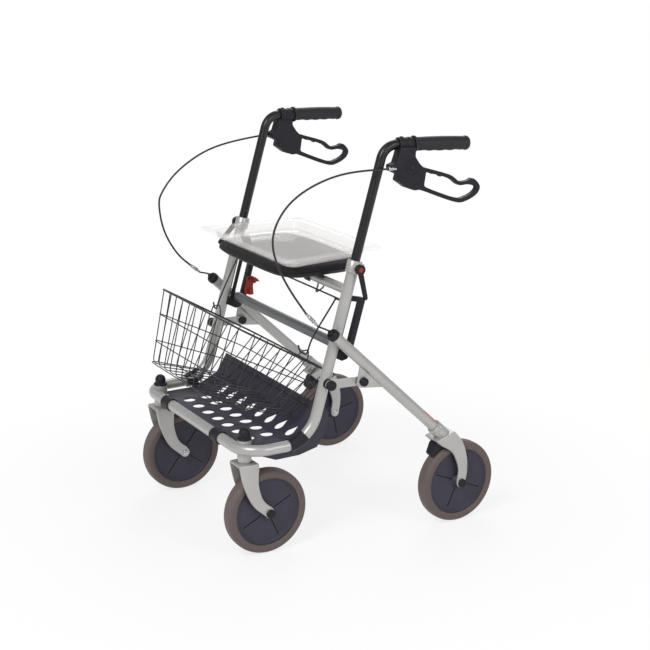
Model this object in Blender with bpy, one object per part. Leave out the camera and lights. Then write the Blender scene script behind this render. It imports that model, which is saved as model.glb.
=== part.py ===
"""A folding four-wheeled walking frame with a seat, a tray, a wire basket and loop brakes.

Frame: +Z is up, the user walks towards -Y, +X is the user's left. The floor is z = 0 and the
origin lies midway between the two axles. Lengths are in metres.
"""

from math import asin, atan2, cos, degrees, hypot, pi, radians, sin, sqrt, tan

import bmesh
import bpy
from mathutils import Matrix, Vector
from mathutils.geometry import interpolate_bezier

SIDES = {"left": 1, "right": -1}

# Clearances
RUNNING_GAP = 0.0003
SLIDING_GAP = 0.0004

# Wheels
WHEEL_RADIUS = 0.100
WHEEL_WIDTH = 0.036
HUB_RADIUS = 0.076
WHEELBASE = 0.4794
AXLE_RADIUS = 0.004
FORK_GAP = 0.0042
FORK_ARM = 0.0045

# Front frame
TUBE_RADIUS = 0.0127
TUBE_WALL = 0.0015
UPRIGHT_X = 0.265
LEAN = radians(16.1)
LOOP_Z = 0.262
LOOP_MEETS_UPRIGHT_Y = -0.1493
LOOP_FRONT_Y = -0.3098
LOOP_CORNER_RADIUS = 0.060
LOOP_BEND_RADIUS = 0.085
UPRIGHT_TOP_Z = 0.6630
CROSS_Z = 0.600
CROSS_RADIUS = 0.011

# Casters
SWIVEL_INBOARD = 0.044
SWIVEL_X = UPRIGHT_X - SWIVEL_INBOARD
CASTER_TRAIL = 0.0511
BOSS_RADIUS = 0.016
BOSS_BOTTOM_Z = 0.2292
BOSS_TOP_Z = 0.2800
SPINDLE_RADIUS = 0.006
FORK_TOP_Z = 0.2266

# Handles
HANDLE_RADIUS = TUBE_RADIUS - TUBE_WALL - SLIDING_GAP
HANDLE_BEND_RADIUS = 0.040
HANDLE_CORNER_Z = 0.9165
HANDLE_PITCH = radians(-2.8)
HANDLE_SPLAY = radians(3.2)
HANDLE_INSERTED = 0.200
HANDLE_LOWERS = 0.120
GRIP_RADIUS = 0.0155
GRIP_START = 0.0715
GRIP_LENGTH = 0.1445
LEVER_THICKNESS = 0.0140
LEVER_PIN_RADIUS = 0.003

# Cables
CABLE_RADIUS = 0.0023
CABLE_OFFSET = 0.0165
BARREL_RADIUS = 0.0040

# Fold
FOLD_PIVOT_Z = 0.396
GUSSET_PIVOT = Vector((0.0, -0.0283, 0.3925))
SLOT_ALONG = 0.0837
SLOT_BEHIND = 0.0280
PIN_RADIUS = 0.0065
PIVOT_RADIUS = 0.004
LINK_STANDS_OFF = 0.0098
LINK_X = UPRIGHT_X + TUBE_RADIUS + LINK_STANDS_OFF
LINK_THICKNESS = 0.004
LINK_HALF_WIDTH = 0.0105
SLOT_FRONT = 0.0197
SLOT_WIDTH = 0.0210
SLOT_TRAVEL = 0.113
GUIDE_INBOARD = 0.0080
GUIDE_X = UPRIGHT_X - GUIDE_INBOARD
GUIDE_THICKNESS = 0.0140
LATCH_ALONG = 0.0500
LATCH_PIN_RADIUS = 0.0030
LATCH_RELEASE = radians(38)
LATCH_OVER_TUBE = 0.0080

# Rear frame
LEG_BESIDE_UPRIGHT = 0.0036
LEG_X = UPRIGHT_X + 2 * TUBE_RADIUS + LEG_BESIDE_UPRIGHT
WHEEL_INBOARD_OF_LEG = 0.005
REAR_WHEEL_X = LEG_X - WHEEL_INBOARD_OF_LEG
LEG_SLOPE = radians(43.6)
LEG_AHEAD = 0.056
LEG_BEHIND = 0.325
CROSS_PROFILE_RADIUS = 0.012
CROSS_END_GAP = 0.0060
CROSS_HALF_LENGTH = GUIDE_X - GUIDE_THICKNESS / 2 - CROSS_END_GAP
GUSSET_THICKNESS = 0.004
SHOE_GAP = 0.004

# Seat, tray and basket
SEAT_HALF_WIDTH = 0.187
SEAT_FRONT_Y = -0.170
SEAT_REAR_Y = 0.062
SEAT_BOTTOM_Z = 0.6140
SEAT_TOP_Z = 0.6430
TRAY_FLOOR_Z = SEAT_TOP_Z + RUNNING_GAP
TRAY_DEPTH = 0.0240
TRAY_WALL = 0.0025
TRAY_FRONT_HALF = 0.2110
TRAY_REAR_HALF = 0.1925
TRAY_FRONT_Y = -0.1820
TRAY_REAR_Y = 0.0880
TRAY_FLANGE = 0.0200
RIM_HALF_WIDTH = 0.215
BASE_HALF_WIDTH = 0.190
RIM_FRONT = (-0.2892, 0.5289)
RIM_REAR = (-0.0380, 0.3810)
BASE_FRONT = (-0.3334, 0.3575)
BASE_REAR = (-0.1432, 0.2962)
WIRE_RADIUS = 0.0013
BAIL_RADIUS = 0.0020
WIRES_ACROSS = 8
WIRES_DEEP = 6

# Shelf
SHELF_SIDE_GAP = 0.0138
SHELF_HALF_WIDTH = UPRIGHT_X - TUBE_RADIUS - SHELF_SIDE_GAP
SHELF_SHEET = 0.0032
SHELF_DECK_Z = 0.2520
HOLE_RADIUS = 0.0148
HOLE_PITCH = 0.051
DROP_PITCH = 0.049

# Shape resolution
ROUND = 24
TUBE_SIDES = 16
WHEEL_SIDES = 24
BEND_STEPS = 5
PIN_SIDES = 12

ALONG = Vector((0.0, sin(LEAN), cos(LEAN)))
BEHIND = Vector((0.0, cos(LEAN), -sin(LEAN)))
LEG_DOWN = Vector((0.0, cos(LEG_SLOPE), -sin(LEG_SLOPE)))
LEG_UNDER = Vector((0.0, -sin(LEG_SLOPE), -cos(LEG_SLOPE)))
X_AXIS = Vector((1.0, 0.0, 0.0))
Y_AXIS = Vector((0.0, 1.0, 0.0))
Z_AXIS = Vector((0.0, 0.0, 1.0))


def upright_point(z, x=0.0):
    """Point of the upright's axis at height z."""
    return Vector((x, LOOP_MEETS_UPRIGHT_Y + (z - LOOP_Z) * tan(LEAN), z))


FOLD_PIVOT = upright_point(FOLD_PIVOT_Z)
UPRIGHT_TOP = upright_point(UPRIGHT_TOP_Z)
SLOT_PIN = FOLD_PIVOT + SLOT_ALONG * ALONG + SLOT_BEHIND * BEHIND
FRONT_AXLE = Vector((SWIVEL_X, -WHEELBASE / 2, WHEEL_RADIUS))
REAR_AXLE = Vector((REAR_WHEEL_X, WHEELBASE / 2, WHEEL_RADIUS))
SWIVEL_Y = FRONT_AXLE.y - CASTER_TRAIL
FORK_HALF = WHEEL_WIDTH / 2 + FORK_GAP + FORK_ARM
HANDLE_CORNER = upright_point(HANDLE_CORNER_Z)
CABLE_X = UPRIGHT_X + CABLE_OFFSET


# Materials

PALETTE = {
    "frame_paint": ("C6C6BE", 0.38, 0.35),
    "cross_tube": ("85868A", 0.40, 0.45),
    "handle_black": ("1B1A21", 0.35, 0.20),
    "black_plastic": ("302E38", 0.50, 0.0),
    "grip_rubber": ("38363F", 0.65, 0.0),
    "cable_black": ("1C1C20", 0.45, 0.0),
    "bright_steel": ("B9BCC0", 0.25, 0.90),
    "tyre_grey": ("8A7E7B", 0.75, 0.0),
    "hub_slate": ("3D3B4A", 0.55, 0.0),
    "shelf_plastic": ("312F3B", 0.60, 0.0),
    "seat_black": ("24222C", 0.55, 0.0),
    "tray_clear": ("E9E6E2", 0.08, 0.0),
    "wire_black": ("222226", 0.40, 0.30),
    "latch_red": ("9C3226", 0.45, 0.0),
}


def linear(hex_colour):
    """Linear RGB from an sRGB hex colour."""
    channels = [int(hex_colour[i : i + 2], 16) / 255 for i in (0, 2, 4)]
    return [c / 12.92 if c <= 0.04045 else ((c + 0.055) / 1.055) ** 2.4 for c in channels]


def material(name):
    """The named material of the palette, made once."""
    found = bpy.data.materials.get(name)
    if found:
        return found
    colour, roughness, metallic = PALETTE[name]
    made = bpy.data.materials.new(name)
    made.use_nodes = True
    shader = made.node_tree.nodes["Principled BSDF"]
    shader.inputs["Base Color"].default_value = (*linear(colour), 1.0)
    shader.inputs["Roughness"].default_value = roughness
    shader.inputs["Metallic"].default_value = metallic
    if name == "tray_clear":
        shader.inputs["Transmission Weight"].default_value = 0.9
    made.diffuse_color = (*linear(colour), 1.0)
    return made


# Shape helpers


def as_object(bm, name="shape"):
    """A linked object that holds the bmesh, with its faces turned outwards."""
    bmesh.ops.remove_doubles(bm, verts=bm.verts, dist=1e-7)
    bmesh.ops.recalc_face_normals(bm, faces=bm.faces)
    mesh = bpy.data.meshes.new(name)
    bm.to_mesh(mesh)
    bm.free()
    obj = bpy.data.objects.new(name, mesh)
    bpy.context.scene.collection.objects.link(obj)
    return obj


def pointing(axis, origin):
    """Matrix that takes +Z to the axis and the zero point to the origin."""
    return Matrix.Translation(origin) @ Vector(axis).to_track_quat("Z", "X").to_matrix().to_4x4()


def turned(profile, origin, axis, segments=ROUND):
    """Solid of revolution. The profile is (radius, distance along the axis) pairs."""
    bm = bmesh.new()
    points = [bm.verts.new((radius, 0.0, along)) for radius, along in profile]
    edges = [bm.edges.new(pair) for pair in zip(points, points[1:])]
    if profile[0][0] > 0:
        edges.append(bm.edges.new((points[-1], points[0])))
    bmesh.ops.spin(
        bm, geom=points + edges, cent=(0, 0, 0), axis=(0, 0, 1), angle=2 * pi, steps=segments
    )
    bmesh.ops.remove_doubles(bm, verts=bm.verts, dist=1e-6)
    bmesh.ops.dissolve_degenerate(bm, edges=bm.edges, dist=1e-6)
    bmesh.ops.transform(bm, matrix=pointing(axis, origin), verts=bm.verts)
    return as_object(bm)


def rod(start, end, radius, segments=ROUND):
    """Plain cylinder between two points."""
    start = Vector(start)
    axis = Vector(end) - start
    profile = [(0.0, 0.0), (radius, 0.0), (radius, axis.length), (0.0, axis.length)]
    return turned(profile, start, axis, segments)


def block(low, high):
    """Box between two corners."""
    bm = bmesh.new()
    low, high = Vector(low), Vector(high)
    bmesh.ops.create_cube(bm, size=1.0)
    size = high - low
    bmesh.ops.scale(bm, vec=size, verts=bm.verts)
    bmesh.ops.translate(bm, vec=(low + high) / 2, verts=bm.verts)
    return as_object(bm)


def side_plate(outline, x, thickness):
    """An outline of (y, z) pairs, extruded along X and centred at x."""
    bm = bmesh.new()
    face = bm.faces.new([bm.verts.new((x - thickness / 2, y, z)) for y, z in outline])
    grown = bmesh.ops.extrude_face_region(bm, geom=[face])["geom"]
    moved = [item for item in grown if isinstance(item, bmesh.types.BMVert)]
    bmesh.ops.translate(bm, vec=(thickness, 0, 0), verts=moved)
    return as_object(bm)


def swept(points, radius, segments=TUBE_SIDES, closed=False):
    """Round bar along a line of points, made by a bevelled curve with filled ends."""
    curve = bpy.data.curves.new("bar", "CURVE")
    curve.dimensions = "3D"
    curve.bevel_depth = radius
    curve.bevel_resolution = (segments - 4) // 2
    curve.use_fill_caps = True
    spline = curve.splines.new("POLY")
    spline.points.add(len(points) - 1)
    for point, place in zip(spline.points, points):
        point.co = (*place, 1.0)
    spline.use_cyclic_u = closed
    guide = bpy.data.objects.new("bar", curve)
    bpy.context.scene.collection.objects.link(guide)
    graph = bpy.context.evaluated_depsgraph_get()
    mesh = bpy.data.meshes.new_from_object(guide.evaluated_get(graph))
    bm = bmesh.new()
    bm.from_mesh(mesh)
    bmesh.ops.remove_doubles(bm, verts=bm.verts, dist=1e-6)
    bpy.data.objects.remove(guide)
    bpy.data.meshes.remove(mesh)
    return as_object(bm)


def drop(obj):
    """Removes an object and its mesh."""
    mesh = obj.data
    bpy.data.objects.remove(obj)
    bpy.data.meshes.remove(mesh)


def tidied(mesh):
    """Merges the corners that a Boolean leaves within two microns of each other."""
    bm = bmesh.new()
    bm.from_mesh(mesh)
    bmesh.ops.remove_doubles(bm, verts=bm.verts, dist=2e-6)
    bmesh.ops.dissolve_degenerate(bm, edges=bm.edges, dist=2e-6)
    bm.to_mesh(mesh)
    bm.free()
    return mesh


def boolean(target, others, operation):
    """Applies one Boolean for each other object and removes it."""
    for other in others:
        step = target.modifiers.new(operation, "BOOLEAN")
        step.operation = operation
        step.solver = "EXACT"
        step.object = other
        bpy.context.view_layer.update()
        graph = bpy.context.evaluated_depsgraph_get()
        result = tidied(bpy.data.meshes.new_from_object(target.evaluated_get(graph)))
        target.modifiers.clear()
        old = target.data
        target.data = result
        bpy.data.meshes.remove(old)
        drop(other)
    return target


def joined(target, *others):
    """Union of the objects."""
    return boolean(target, others, "UNION")


def cut(target, *others):
    """The target less the other objects."""
    return boolean(target, others, "DIFFERENCE")


def softened(obj, width, segments=1, angle=40):
    """Bevels the edges that are sharper than the angle, and keeps the result."""
    step = obj.modifiers.new("edges", "BEVEL")
    step.width = width
    step.segments = segments
    step.limit_method = "ANGLE"
    step.angle_limit = radians(angle)
    step.use_clamp_overlap = True
    bpy.context.view_layer.update()
    graph = bpy.context.evaluated_depsgraph_get()
    result = bpy.data.meshes.new_from_object(obj.evaluated_get(graph))
    obj.modifiers.clear()
    obj.data = result
    return obj


def finish(obj, name, slot, pivot=(0, 0, 0), parent=None):
    """Names the piece, gives it its material and puts its origin on the pivot."""
    obj.name = name
    obj.data.name = name
    pivot = Vector(pivot)
    obj.data.transform(Matrix.Translation(-pivot))
    obj.location = pivot
    obj.data.materials.clear()
    obj.data.materials.append(material(slot))
    obj.data.shade_smooth()
    obj.data.set_sharp_from_angle(angle=radians(35))
    if parent:
        obj.parent = parent
    return obj


def mirrored(obj):
    """A copy of a finished piece across the YZ plane, named for the other side."""
    mesh = obj.data.copy()
    mesh.transform(Matrix.Diagonal((-1, 1, 1, 1)))
    mesh.flip_normals()
    twin = bpy.data.objects.new(obj.name.replace("_left", "_right"), mesh)
    mesh.name = twin.name
    twin.location = (-obj.location.x, obj.location.y, obj.location.z)
    bpy.context.scene.collection.objects.link(twin)
    return twin


def arc(centre, radius, start, end, steps):
    """Points (y, z) of an arc, angles in radians from +Y towards +Z."""
    angles = [start + (end - start) * i / steps for i in range(steps + 1)]
    return [(centre[0] + radius * cos(a), centre[1] + radius * sin(a)) for a in angles]


def smooth_line(points, steps):
    """Points of a Catmull-Rom curve through the given points."""
    padded = [points[0], *points, points[-1]]
    line = []
    for before, start, end, after in zip(padded, padded[1:], padded[2:], padded[3:]):
        start, end = Vector(start), Vector(end)
        lead = start + (end - Vector(before)) / 6
        trail = end - (Vector(after) - start) / 6
        if len(start) == 2:
            start, lead, trail, end = (Vector((*v, 0.0)) for v in (start, lead, trail, end))
        line.extend(interpolate_bezier(start, lead, trail, end, steps + 1)[:-1])
    last = Vector(points[-1])
    line.append(last if len(last) == 3 else Vector((*last, 0.0)))
    return line


def flat_curve(points, steps):
    """Smooth (y, z) outline through (y, z) points."""
    return [(p.x, p.y) for p in smooth_line(points, steps)]


def moved(outline, origin):
    """The (y, z) outline shifted by the origin's own y and z."""
    return [(origin.y + y, origin.z + z) for y, z in outline]


def ribbon(points, thickness):
    """Closed (y, z) outline of a sheet whose centre line runs through the points."""
    upper, lower = [], []
    for i, (y, z) in enumerate(points):
        back = points[max(i - 1, 0)]
        ahead = points[min(i + 1, len(points) - 1)]
        run, rise = ahead[0] - back[0], ahead[1] - back[1]
        size = hypot(run, rise)
        off = (-rise / size * thickness / 2, run / size * thickness / 2)
        upper.append((y + off[0], z + off[1]))
        lower.append((y - off[0], z - off[1]))
    return upper + lower[::-1]


# Front frame


def bend_centre():
    """Centre (y, z) of the bend between the loop's side tube and the upright."""
    tangent = LOOP_BEND_RADIUS * tan((pi / 2 - LEAN) / 2)
    return LOOP_MEETS_UPRIGHT_Y - tangent, LOOP_Z + LOOP_BEND_RADIUS


def bend_point(share):
    """Point of that bend's centre line, share running from the side tube to the upright."""
    centre = bend_centre()
    angle = -pi / 2 + share * (pi / 2 - LEAN)
    return Vector(
        (UPRIGHT_X, centre[0] + LOOP_BEND_RADIUS * cos(angle), centre[1] + LOOP_BEND_RADIUS * sin(angle))
    )


def frame_line():
    """Centre line of the left half of the front frame, from the upright's top to the middle."""
    line = [UPRIGHT_TOP + Vector((UPRIGHT_X, 0, 0))]
    line += [bend_point(1 - i / BEND_STEPS) for i in range(BEND_STEPS + 1)]
    centre = Vector((UPRIGHT_X - LOOP_CORNER_RADIUS, LOOP_FRONT_Y + LOOP_CORNER_RADIUS, LOOP_Z))
    for i in range(5):
        angle = -i / 4 * pi / 2
        line.append(centre + LOOP_CORNER_RADIUS * Vector((cos(angle), sin(angle), 0)))
    return line


def front_frame():
    """Uprights and bottom loop in one bent tube, with the caster bosses welded in its corners."""
    half = frame_line()
    other = [Vector((-p.x, p.y, p.z)) for p in reversed(half)]
    frame = swept(half + other, TUBE_RADIUS, TUBE_SIDES)
    cutters = []
    for side in SIDES.values():
        swivel = Vector((side * SWIVEL_X, SWIVEL_Y, 0))
        boss = rod(swivel + BOSS_BOTTOM_Z * Z_AXIS, swivel + BOSS_TOP_Z * Z_AXIS, BOSS_RADIUS, 16)
        joined(frame, boss)
        bore = SPINDLE_RADIUS + RUNNING_GAP
        cutters.append(rod(swivel + 0.2 * Z_AXIS, swivel + 0.3 * Z_AXIS, bore, PIN_SIDES))
        x = side * UPRIGHT_X
        deep = UPRIGHT_TOP - (HANDLE_INSERTED + HANDLE_LOWERS + 0.012) * ALONG
        start = deep + Vector((x, 0, 0))
        end = UPRIGHT_TOP + 0.01 * ALONG + Vector((x, 0, 0))
        cutters.append(rod(start, end, TUBE_RADIUS - TUBE_WALL, TUBE_SIDES))
        pin = FOLD_PIVOT + Vector((side * (UPRIGHT_X - 0.009), 0, 0))
        cutters.append(rod(pin, pin + side * 0.05 * X_AXIS, PIVOT_RADIUS + RUNNING_GAP, PIN_SIDES))
        screw = clamp_centre() + Vector((side * UPRIGHT_X, 0, 0))
        cutters.append(rod(screw, screw + side * 0.05 * X_AXIS, AXLE_RADIUS + RUNNING_GAP, PIN_SIDES))
    cut(frame, *cutters)
    return finish(frame, "front_frame", "frame_paint")


def seat_cross_tube():
    """Tube between the uprights that carries the seat, with the two wire hooks for the bail."""
    centre = upright_point(CROSS_Z)
    reach = UPRIGHT_X - TUBE_RADIUS - RUNNING_GAP
    end = reach + 0.004
    tube = rod(centre - end * X_AXIS, centre + end * X_AXIS, CROSS_RADIUS, TUBE_SIDES)
    for side in SIDES.values():
        axis = centre + side * UPRIGHT_X * X_AXIS
        saddle = rod(axis - 0.04 * ALONG, axis + 0.04 * ALONG, TUBE_RADIUS + RUNNING_GAP, TUBE_SIDES)
        cut(tube, saddle)
        x = side * HOOK_X
        inside = BAIL_TOP_Z - BAIL_RADIUS - RUNNING_GAP - 0.0016
        line = [
            Vector((x - 0.009, centre.y, CROSS_Z - CROSS_RADIUS + 0.004)),
            Vector((x - 0.008, centre.y - 0.002, BAIL_TOP_Z)),
            Vector((x - 0.006, BAIL_TOP_Y, inside)),
            Vector((x + 0.006, BAIL_TOP_Y, inside)),
            Vector((x + 0.008, centre.y - 0.002, BAIL_TOP_Z)),
            Vector((x + 0.009, centre.y, CROSS_Z - CROSS_RADIUS + 0.004)),
        ]
        joined(tube, swept(line, 0.0016, 6))
    return finish(tube, "seat_cross_tube", "frame_paint")


def clamp_centre():
    """Where the clamp screw meets the upright's axis."""
    return UPRIGHT_TOP - 0.013 * ALONG


def height_collar():
    """Clamp block over the upright's top, with the boss of the clamp screw on its outer side."""
    base = UPRIGHT_TOP - 0.025 * ALONG + Vector((UPRIGHT_X, 0, 0))
    outer = TUBE_RADIUS + 0.0042
    inner = TUBE_RADIUS + RUNNING_GAP
    lip = HANDLE_RADIUS + SLIDING_GAP
    height = 0.025 + RUNNING_GAP
    profile = [
        (0.0, 0.0),
        (outer - 0.001, 0.0),
        (outer, 0.001),
        (outer, height + 0.0015),
        (outer - 0.001, height + 0.0025),
        (0.0, height + 0.0025),
    ]
    collar = turned(profile, base, ALONG, 16)
    centre = clamp_centre() + Vector((UPRIGHT_X, 0, 0))
    ear_y = centre.y + 0.004
    ear = side_plate(
        [
            (ear_y - 0.013, centre.z - 0.010),
            (ear_y + 0.012, centre.z - 0.010),
            (ear_y + 0.016, centre.z - 0.004),
            (ear_y + 0.014, centre.z + 0.012),
            (ear_y - 0.010, centre.z + 0.014),
        ],
        UPRIGHT_X + TUBE_RADIUS + 0.0038,
        0.011,
    )
    joined(collar, ear)
    stepped = turned(
        [(0.0, -0.01), (inner, -0.01), (inner, height), (lip, height), (lip, 0.05), (0.0, 0.05)],
        base,
        ALONG,
        TUBE_SIDES,
    )
    hole = AXLE_RADIUS + RUNNING_GAP
    cut(collar, stepped, rod(centre, centre + 0.05 * X_AXIS, hole, PIN_SIDES))
    left = finish(collar, "height_collar_left", "frame_paint")
    mirrored(left)


def clamp_lever(name, side, angle):
    """Screw, round hub and straight lever. The angle is the lever's, from straight down."""
    centre = clamp_centre()
    tip = HANDLE_RADIUS + 0.0006 + UPRIGHT_X
    seat = UPRIGHT_X + TUBE_RADIUS + 0.0096
    profile = [
        (0.0, tip),
        (AXLE_RADIUS, tip),
        (AXLE_RADIUS, seat),
        (0.0105, seat),
        (0.0115, seat + 0.001),
        (0.0115, seat + 0.0095),
        (0.0100, seat + 0.011),
        (0.0070, seat + 0.011),
        (0.0065, seat + 0.0100),
        (0.0, seat + 0.0100),
    ]
    lever = turned(profile, (0, 0, 0), X_AXIS, 14)
    length = 0.068
    outline = [(-0.0062, -0.004), (-0.0052, -length), (-0.0035, -length - 0.005)]
    outline += [(0.0035, -length - 0.005), (0.0052, -length), (0.0062, -0.004)]
    arm = softened(side_plate(outline, seat + 0.0045, 0.0065), 0.0012)
    joined(lever, arm)
    lever.data.transform(Matrix.Rotation(angle, 4, "X"))
    if side < 0:
        lever.data.transform(Matrix.Diagonal((-1, 1, 1, 1)))
        lever.data.flip_normals()
    lever.data.transform(Matrix.Translation(centre))
    return finish(lever, name, "black_plastic", (side * UPRIGHT_X, centre.y, centre.z))


def slot_guide(name, side):
    """Moulded guide behind an upright: the rear frame's pin slides in its long window."""
    top = SLOT_ALONG - PIN_RADIUS - RUNNING_GAP + SLOT_TRAVEL
    low = SLOT_ALONG - PIN_RADIUS - RUNNING_GAP
    bar = 0.0130
    thin = 0.0045
    outer_low = low - 0.024

    def at(along, behind):
        place = FOLD_PIVOT + along * ALONG + behind * BEHIND
        return place.y, place.z

    back = SLOT_FRONT + SLOT_WIDTH
    x = side * GUIDE_X
    outline = [
        at(outer_low + 0.006, 0.004),
        at(outer_low, back - 0.008),
        at(outer_low + 0.006, back + 0.004),
        at(low + 0.004, back + bar),
        at(top + 0.006, back + bar),
        at(top + 0.012, back + bar - 0.006),
        at(top + 0.010, 0.004),
        at(top, 0.004),
        at(top, SLOT_FRONT - thin),
        at(low, SLOT_FRONT - thin),
        at(low, 0.004),
    ]
    guide = side_plate(outline, x, GUIDE_THICKNESS)
    window = side_plate(
        [at(low, SLOT_FRONT), at(low, back), at(top, back), at(top, SLOT_FRONT)], x, GUIDE_THICKNESS * 2
    )
    cut(guide, window)
    slim = side_plate(
        [
            at(low + 0.001, -0.01),
            at(low + 0.001, SLOT_FRONT + 0.001),
            at(top - 0.001, SLOT_FRONT + 0.001),
            at(top - 0.001, -0.01),
        ],
        x + side * GUIDE_THICKNESS,
        GUIDE_THICKNESS * 2 - 2 * thin,
    )
    cut(guide, slim)
    axis = FOLD_PIVOT + Vector((side * UPRIGHT_X, 0, 0))
    cut(guide, rod(axis - 0.1 * ALONG, axis + 0.4 * ALONG, TUBE_RADIUS + RUNNING_GAP, TUBE_SIDES))
    if side < 0:
        stud = latch_pivot()
        inboard = Vector((-CROSS_HALF_LENGTH - RUNNING_GAP, stud.y, stud.z))
        joined(guide, rod(stud, inboard, LATCH_PIN_RADIUS, 10))
    return finish(guide, name, "black_plastic")


def latch_pivot():
    """Pivot of the fold latch, on the middle of the far guide's long bar."""
    place = SLOT_PIN + LATCH_ALONG * ALONG + (SLOT_FRONT + SLOT_WIDTH + 0.0065 - SLOT_BEHIND) * BEHIND
    return Vector((-GUIDE_X, place.y, place.z))


def fold_latch():
    """Red latch beside the guide: turned down, its jaw stands over the cross tube's end and locks the fold.

    It is drawn as it locks and then turned back by its release angle, which leaves the slot free.
    """
    pivot = latch_pivot()
    off = (pivot - SLOT_PIN).dot(BEHIND)
    arm = hypot(LATCH_ALONG, off) - CROSS_PROFILE_RADIUS - 2 * SLIDING_GAP

    def at(along, behind):
        place = SLOT_PIN + along * ALONG + behind * BEHIND
        return place.y, place.z

    def around(radius, angle):
        turn = radians(angle)
        return at(LATCH_ALONG + radius * cos(turn), off + radius * sin(turn))

    outline = [around(arm, angle) for angle in (213, 206, 200, 194, 188)]
    outline += [at(0.0140, 0.0170), at(0.0270, 0.0210), at(0.0330, 0.0250)]
    outline += [at(0.0360, 0.0330), at(0.0310, 0.0400), at(0.0430, 0.0370), at(0.0520, 0.0290)]
    outline += [around(0.0064, angle) for angle in (40, 0, 320, 280)]
    outline += [at(0.0420, 0.0070), at(0.0300, -0.0035), at(0.0200, -0.0065)]
    inner = CROSS_HALF_LENGTH + 2 * RUNNING_GAP
    outer = GUIDE_X - GUIDE_THICKNESS / 2 - RUNNING_GAP
    latch = side_plate(outline, -(inner + outer) / 2, outer - inner)
    finger = [at(0.0340, 0.0250), at(0.0360, 0.0325), at(0.0310, 0.0395)]
    finger += [at(0.0425, 0.0365), at(0.0500, 0.0285), at(0.0480, 0.0250)]
    joined(latch, side_plate(finger, -inner + 0.0025, 0.0110))
    jaw = [around(arm - 0.0002, angle) for angle in (209, 203, 197, 191)]
    jaw += [around(0.0270, 191), around(0.0270, 209)]
    over = -CROSS_HALF_LENGTH + LATCH_OVER_TUBE
    joined(latch, side_plate(jaw, (over - outer + 0.0010) / 2, outer - 0.0010 + over))
    hole = rod(pivot - 0.02 * X_AXIS, pivot + 0.05 * X_AXIS, LATCH_PIN_RADIUS + RUNNING_GAP, PIN_SIDES)
    cut(latch, hole)
    centre = Matrix.Translation(pivot)
    latch.data.transform(centre @ Matrix.Rotation(LATCH_RELEASE, 4, "X") @ centre.inverted())
    return finish(latch, "fold_latch", "latch_red", pivot)


def caster_cap():
    """Black domed cap on the boss, with a plug in its bore."""
    base = BOSS_TOP_Z + RUNNING_GAP
    profile = [
        (0.0, base - 0.006),
        (SPINDLE_RADIUS, base - 0.006),
        (SPINDLE_RADIUS, base),
        (0.0165, base),
        (0.0165, base + 0.004),
        (0.0130, base + 0.006),
    ]
    for i in range(1, 4):
        angle = i / 4 * pi / 2
        profile.append((0.0130 * cos(angle), base + 0.013 + 0.0135 * sin(angle)))
    profile.append((0.0, base + 0.0265))
    cap = turned(profile, (SWIVEL_X, SWIVEL_Y, 0), Z_AXIS, 14)
    mirrored(finish(cap, "caster_cap_left", "black_plastic"))


# Shelf


def clip_on_front_tube(x):
    """Snap ring of the shelf round the loop's front tube, open below."""
    outer = TUBE_RADIUS + 0.0032
    inner = TUBE_RADIUS + RUNNING_GAP
    profile = [(inner, -0.018), (outer, -0.018), (outer, 0.018), (inner, 0.018)]
    ring = turned(profile, (x, LOOP_FRONT_Y, LOOP_Z), X_AXIS, TUBE_SIDES)
    slit = block((x - 0.03, LOOP_FRONT_Y - 0.005, LOOP_Z - 0.03), (x + 0.03, LOOP_FRONT_Y + 0.003, LOOP_Z))
    half = SHELF_SHEET / 2 - 0.0003
    lug = block(
        (x - 0.016, LOOP_FRONT_Y + TUBE_RADIUS - 0.0025, SHELF_DECK_Z - half),
        (x + 0.016, LOOP_FRONT_Y + TUBE_RADIUS + 0.010, SHELF_DECK_Z + half),
    )
    cut(ring, slit)
    return joined(ring, lug)


def clip_on_side_bend(side):
    """Snap ring of the shelf round the bend of the loop's side tube, open inboard and above."""
    spread = [bend_point(i / BEND_STEPS) for i in (0.5, 1, 2, 2.5)]
    longer = [bend_point(i / BEND_STEPS) for i in (-0.2, 0, 1, 2, 3, 3.5)]
    ring = swept(spread, TUBE_RADIUS + 0.0034, TUBE_SIDES)
    middle = bend_point(1.5 / BEND_STEPS)
    lug = block(
        (SHELF_HALF_WIDTH - 0.0015, middle.y - 0.010, SHELF_DECK_Z - 0.0025),
        (UPRIGHT_X - 0.004, middle.y + 0.010, middle.z - 0.0100),
    )
    joined(ring, lug)
    mouth = block(
        (UPRIGHT_X - 0.0310, middle.y - 0.06, middle.z + 0.0023),
        (UPRIGHT_X - 0.0073, middle.y + 0.06, middle.z + 0.06),
    )
    cut(ring, swept(longer, TUBE_RADIUS + RUNNING_GAP, TUBE_SIDES), mouth)
    if side < 0:
        ring.data.transform(Matrix.Diagonal((-1, 1, 1, 1)))
        ring.data.flip_normals()
    return ring


def drop_hole(x, place, slope):
    """Cutter of one drop-shaped hole, its point up the ramp."""
    bm = bmesh.new()
    radius = 0.0125
    steps = 6
    points = []
    for i in range(steps + 1):
        angle = radians(-210 + 240 * i / steps)
        points.append((radius * cos(angle), radius * sin(angle) - 0.005))
    points.append((0.0, 0.021))
    face = bm.faces.new([bm.verts.new((px, py, -0.01)) for px, py in points])
    grown = bmesh.ops.extrude_face_region(bm, geom=[face])["geom"]
    raised = [item for item in grown if isinstance(item, bmesh.types.BMVert)]
    bmesh.ops.translate(bm, vec=(0, 0, 0.02), verts=raised)
    turn = Matrix.Translation((x, *place)) @ Matrix.Rotation(slope, 4, "X")
    bmesh.ops.transform(bm, matrix=turn, verts=bm.verts)
    return as_object(bm)


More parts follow.
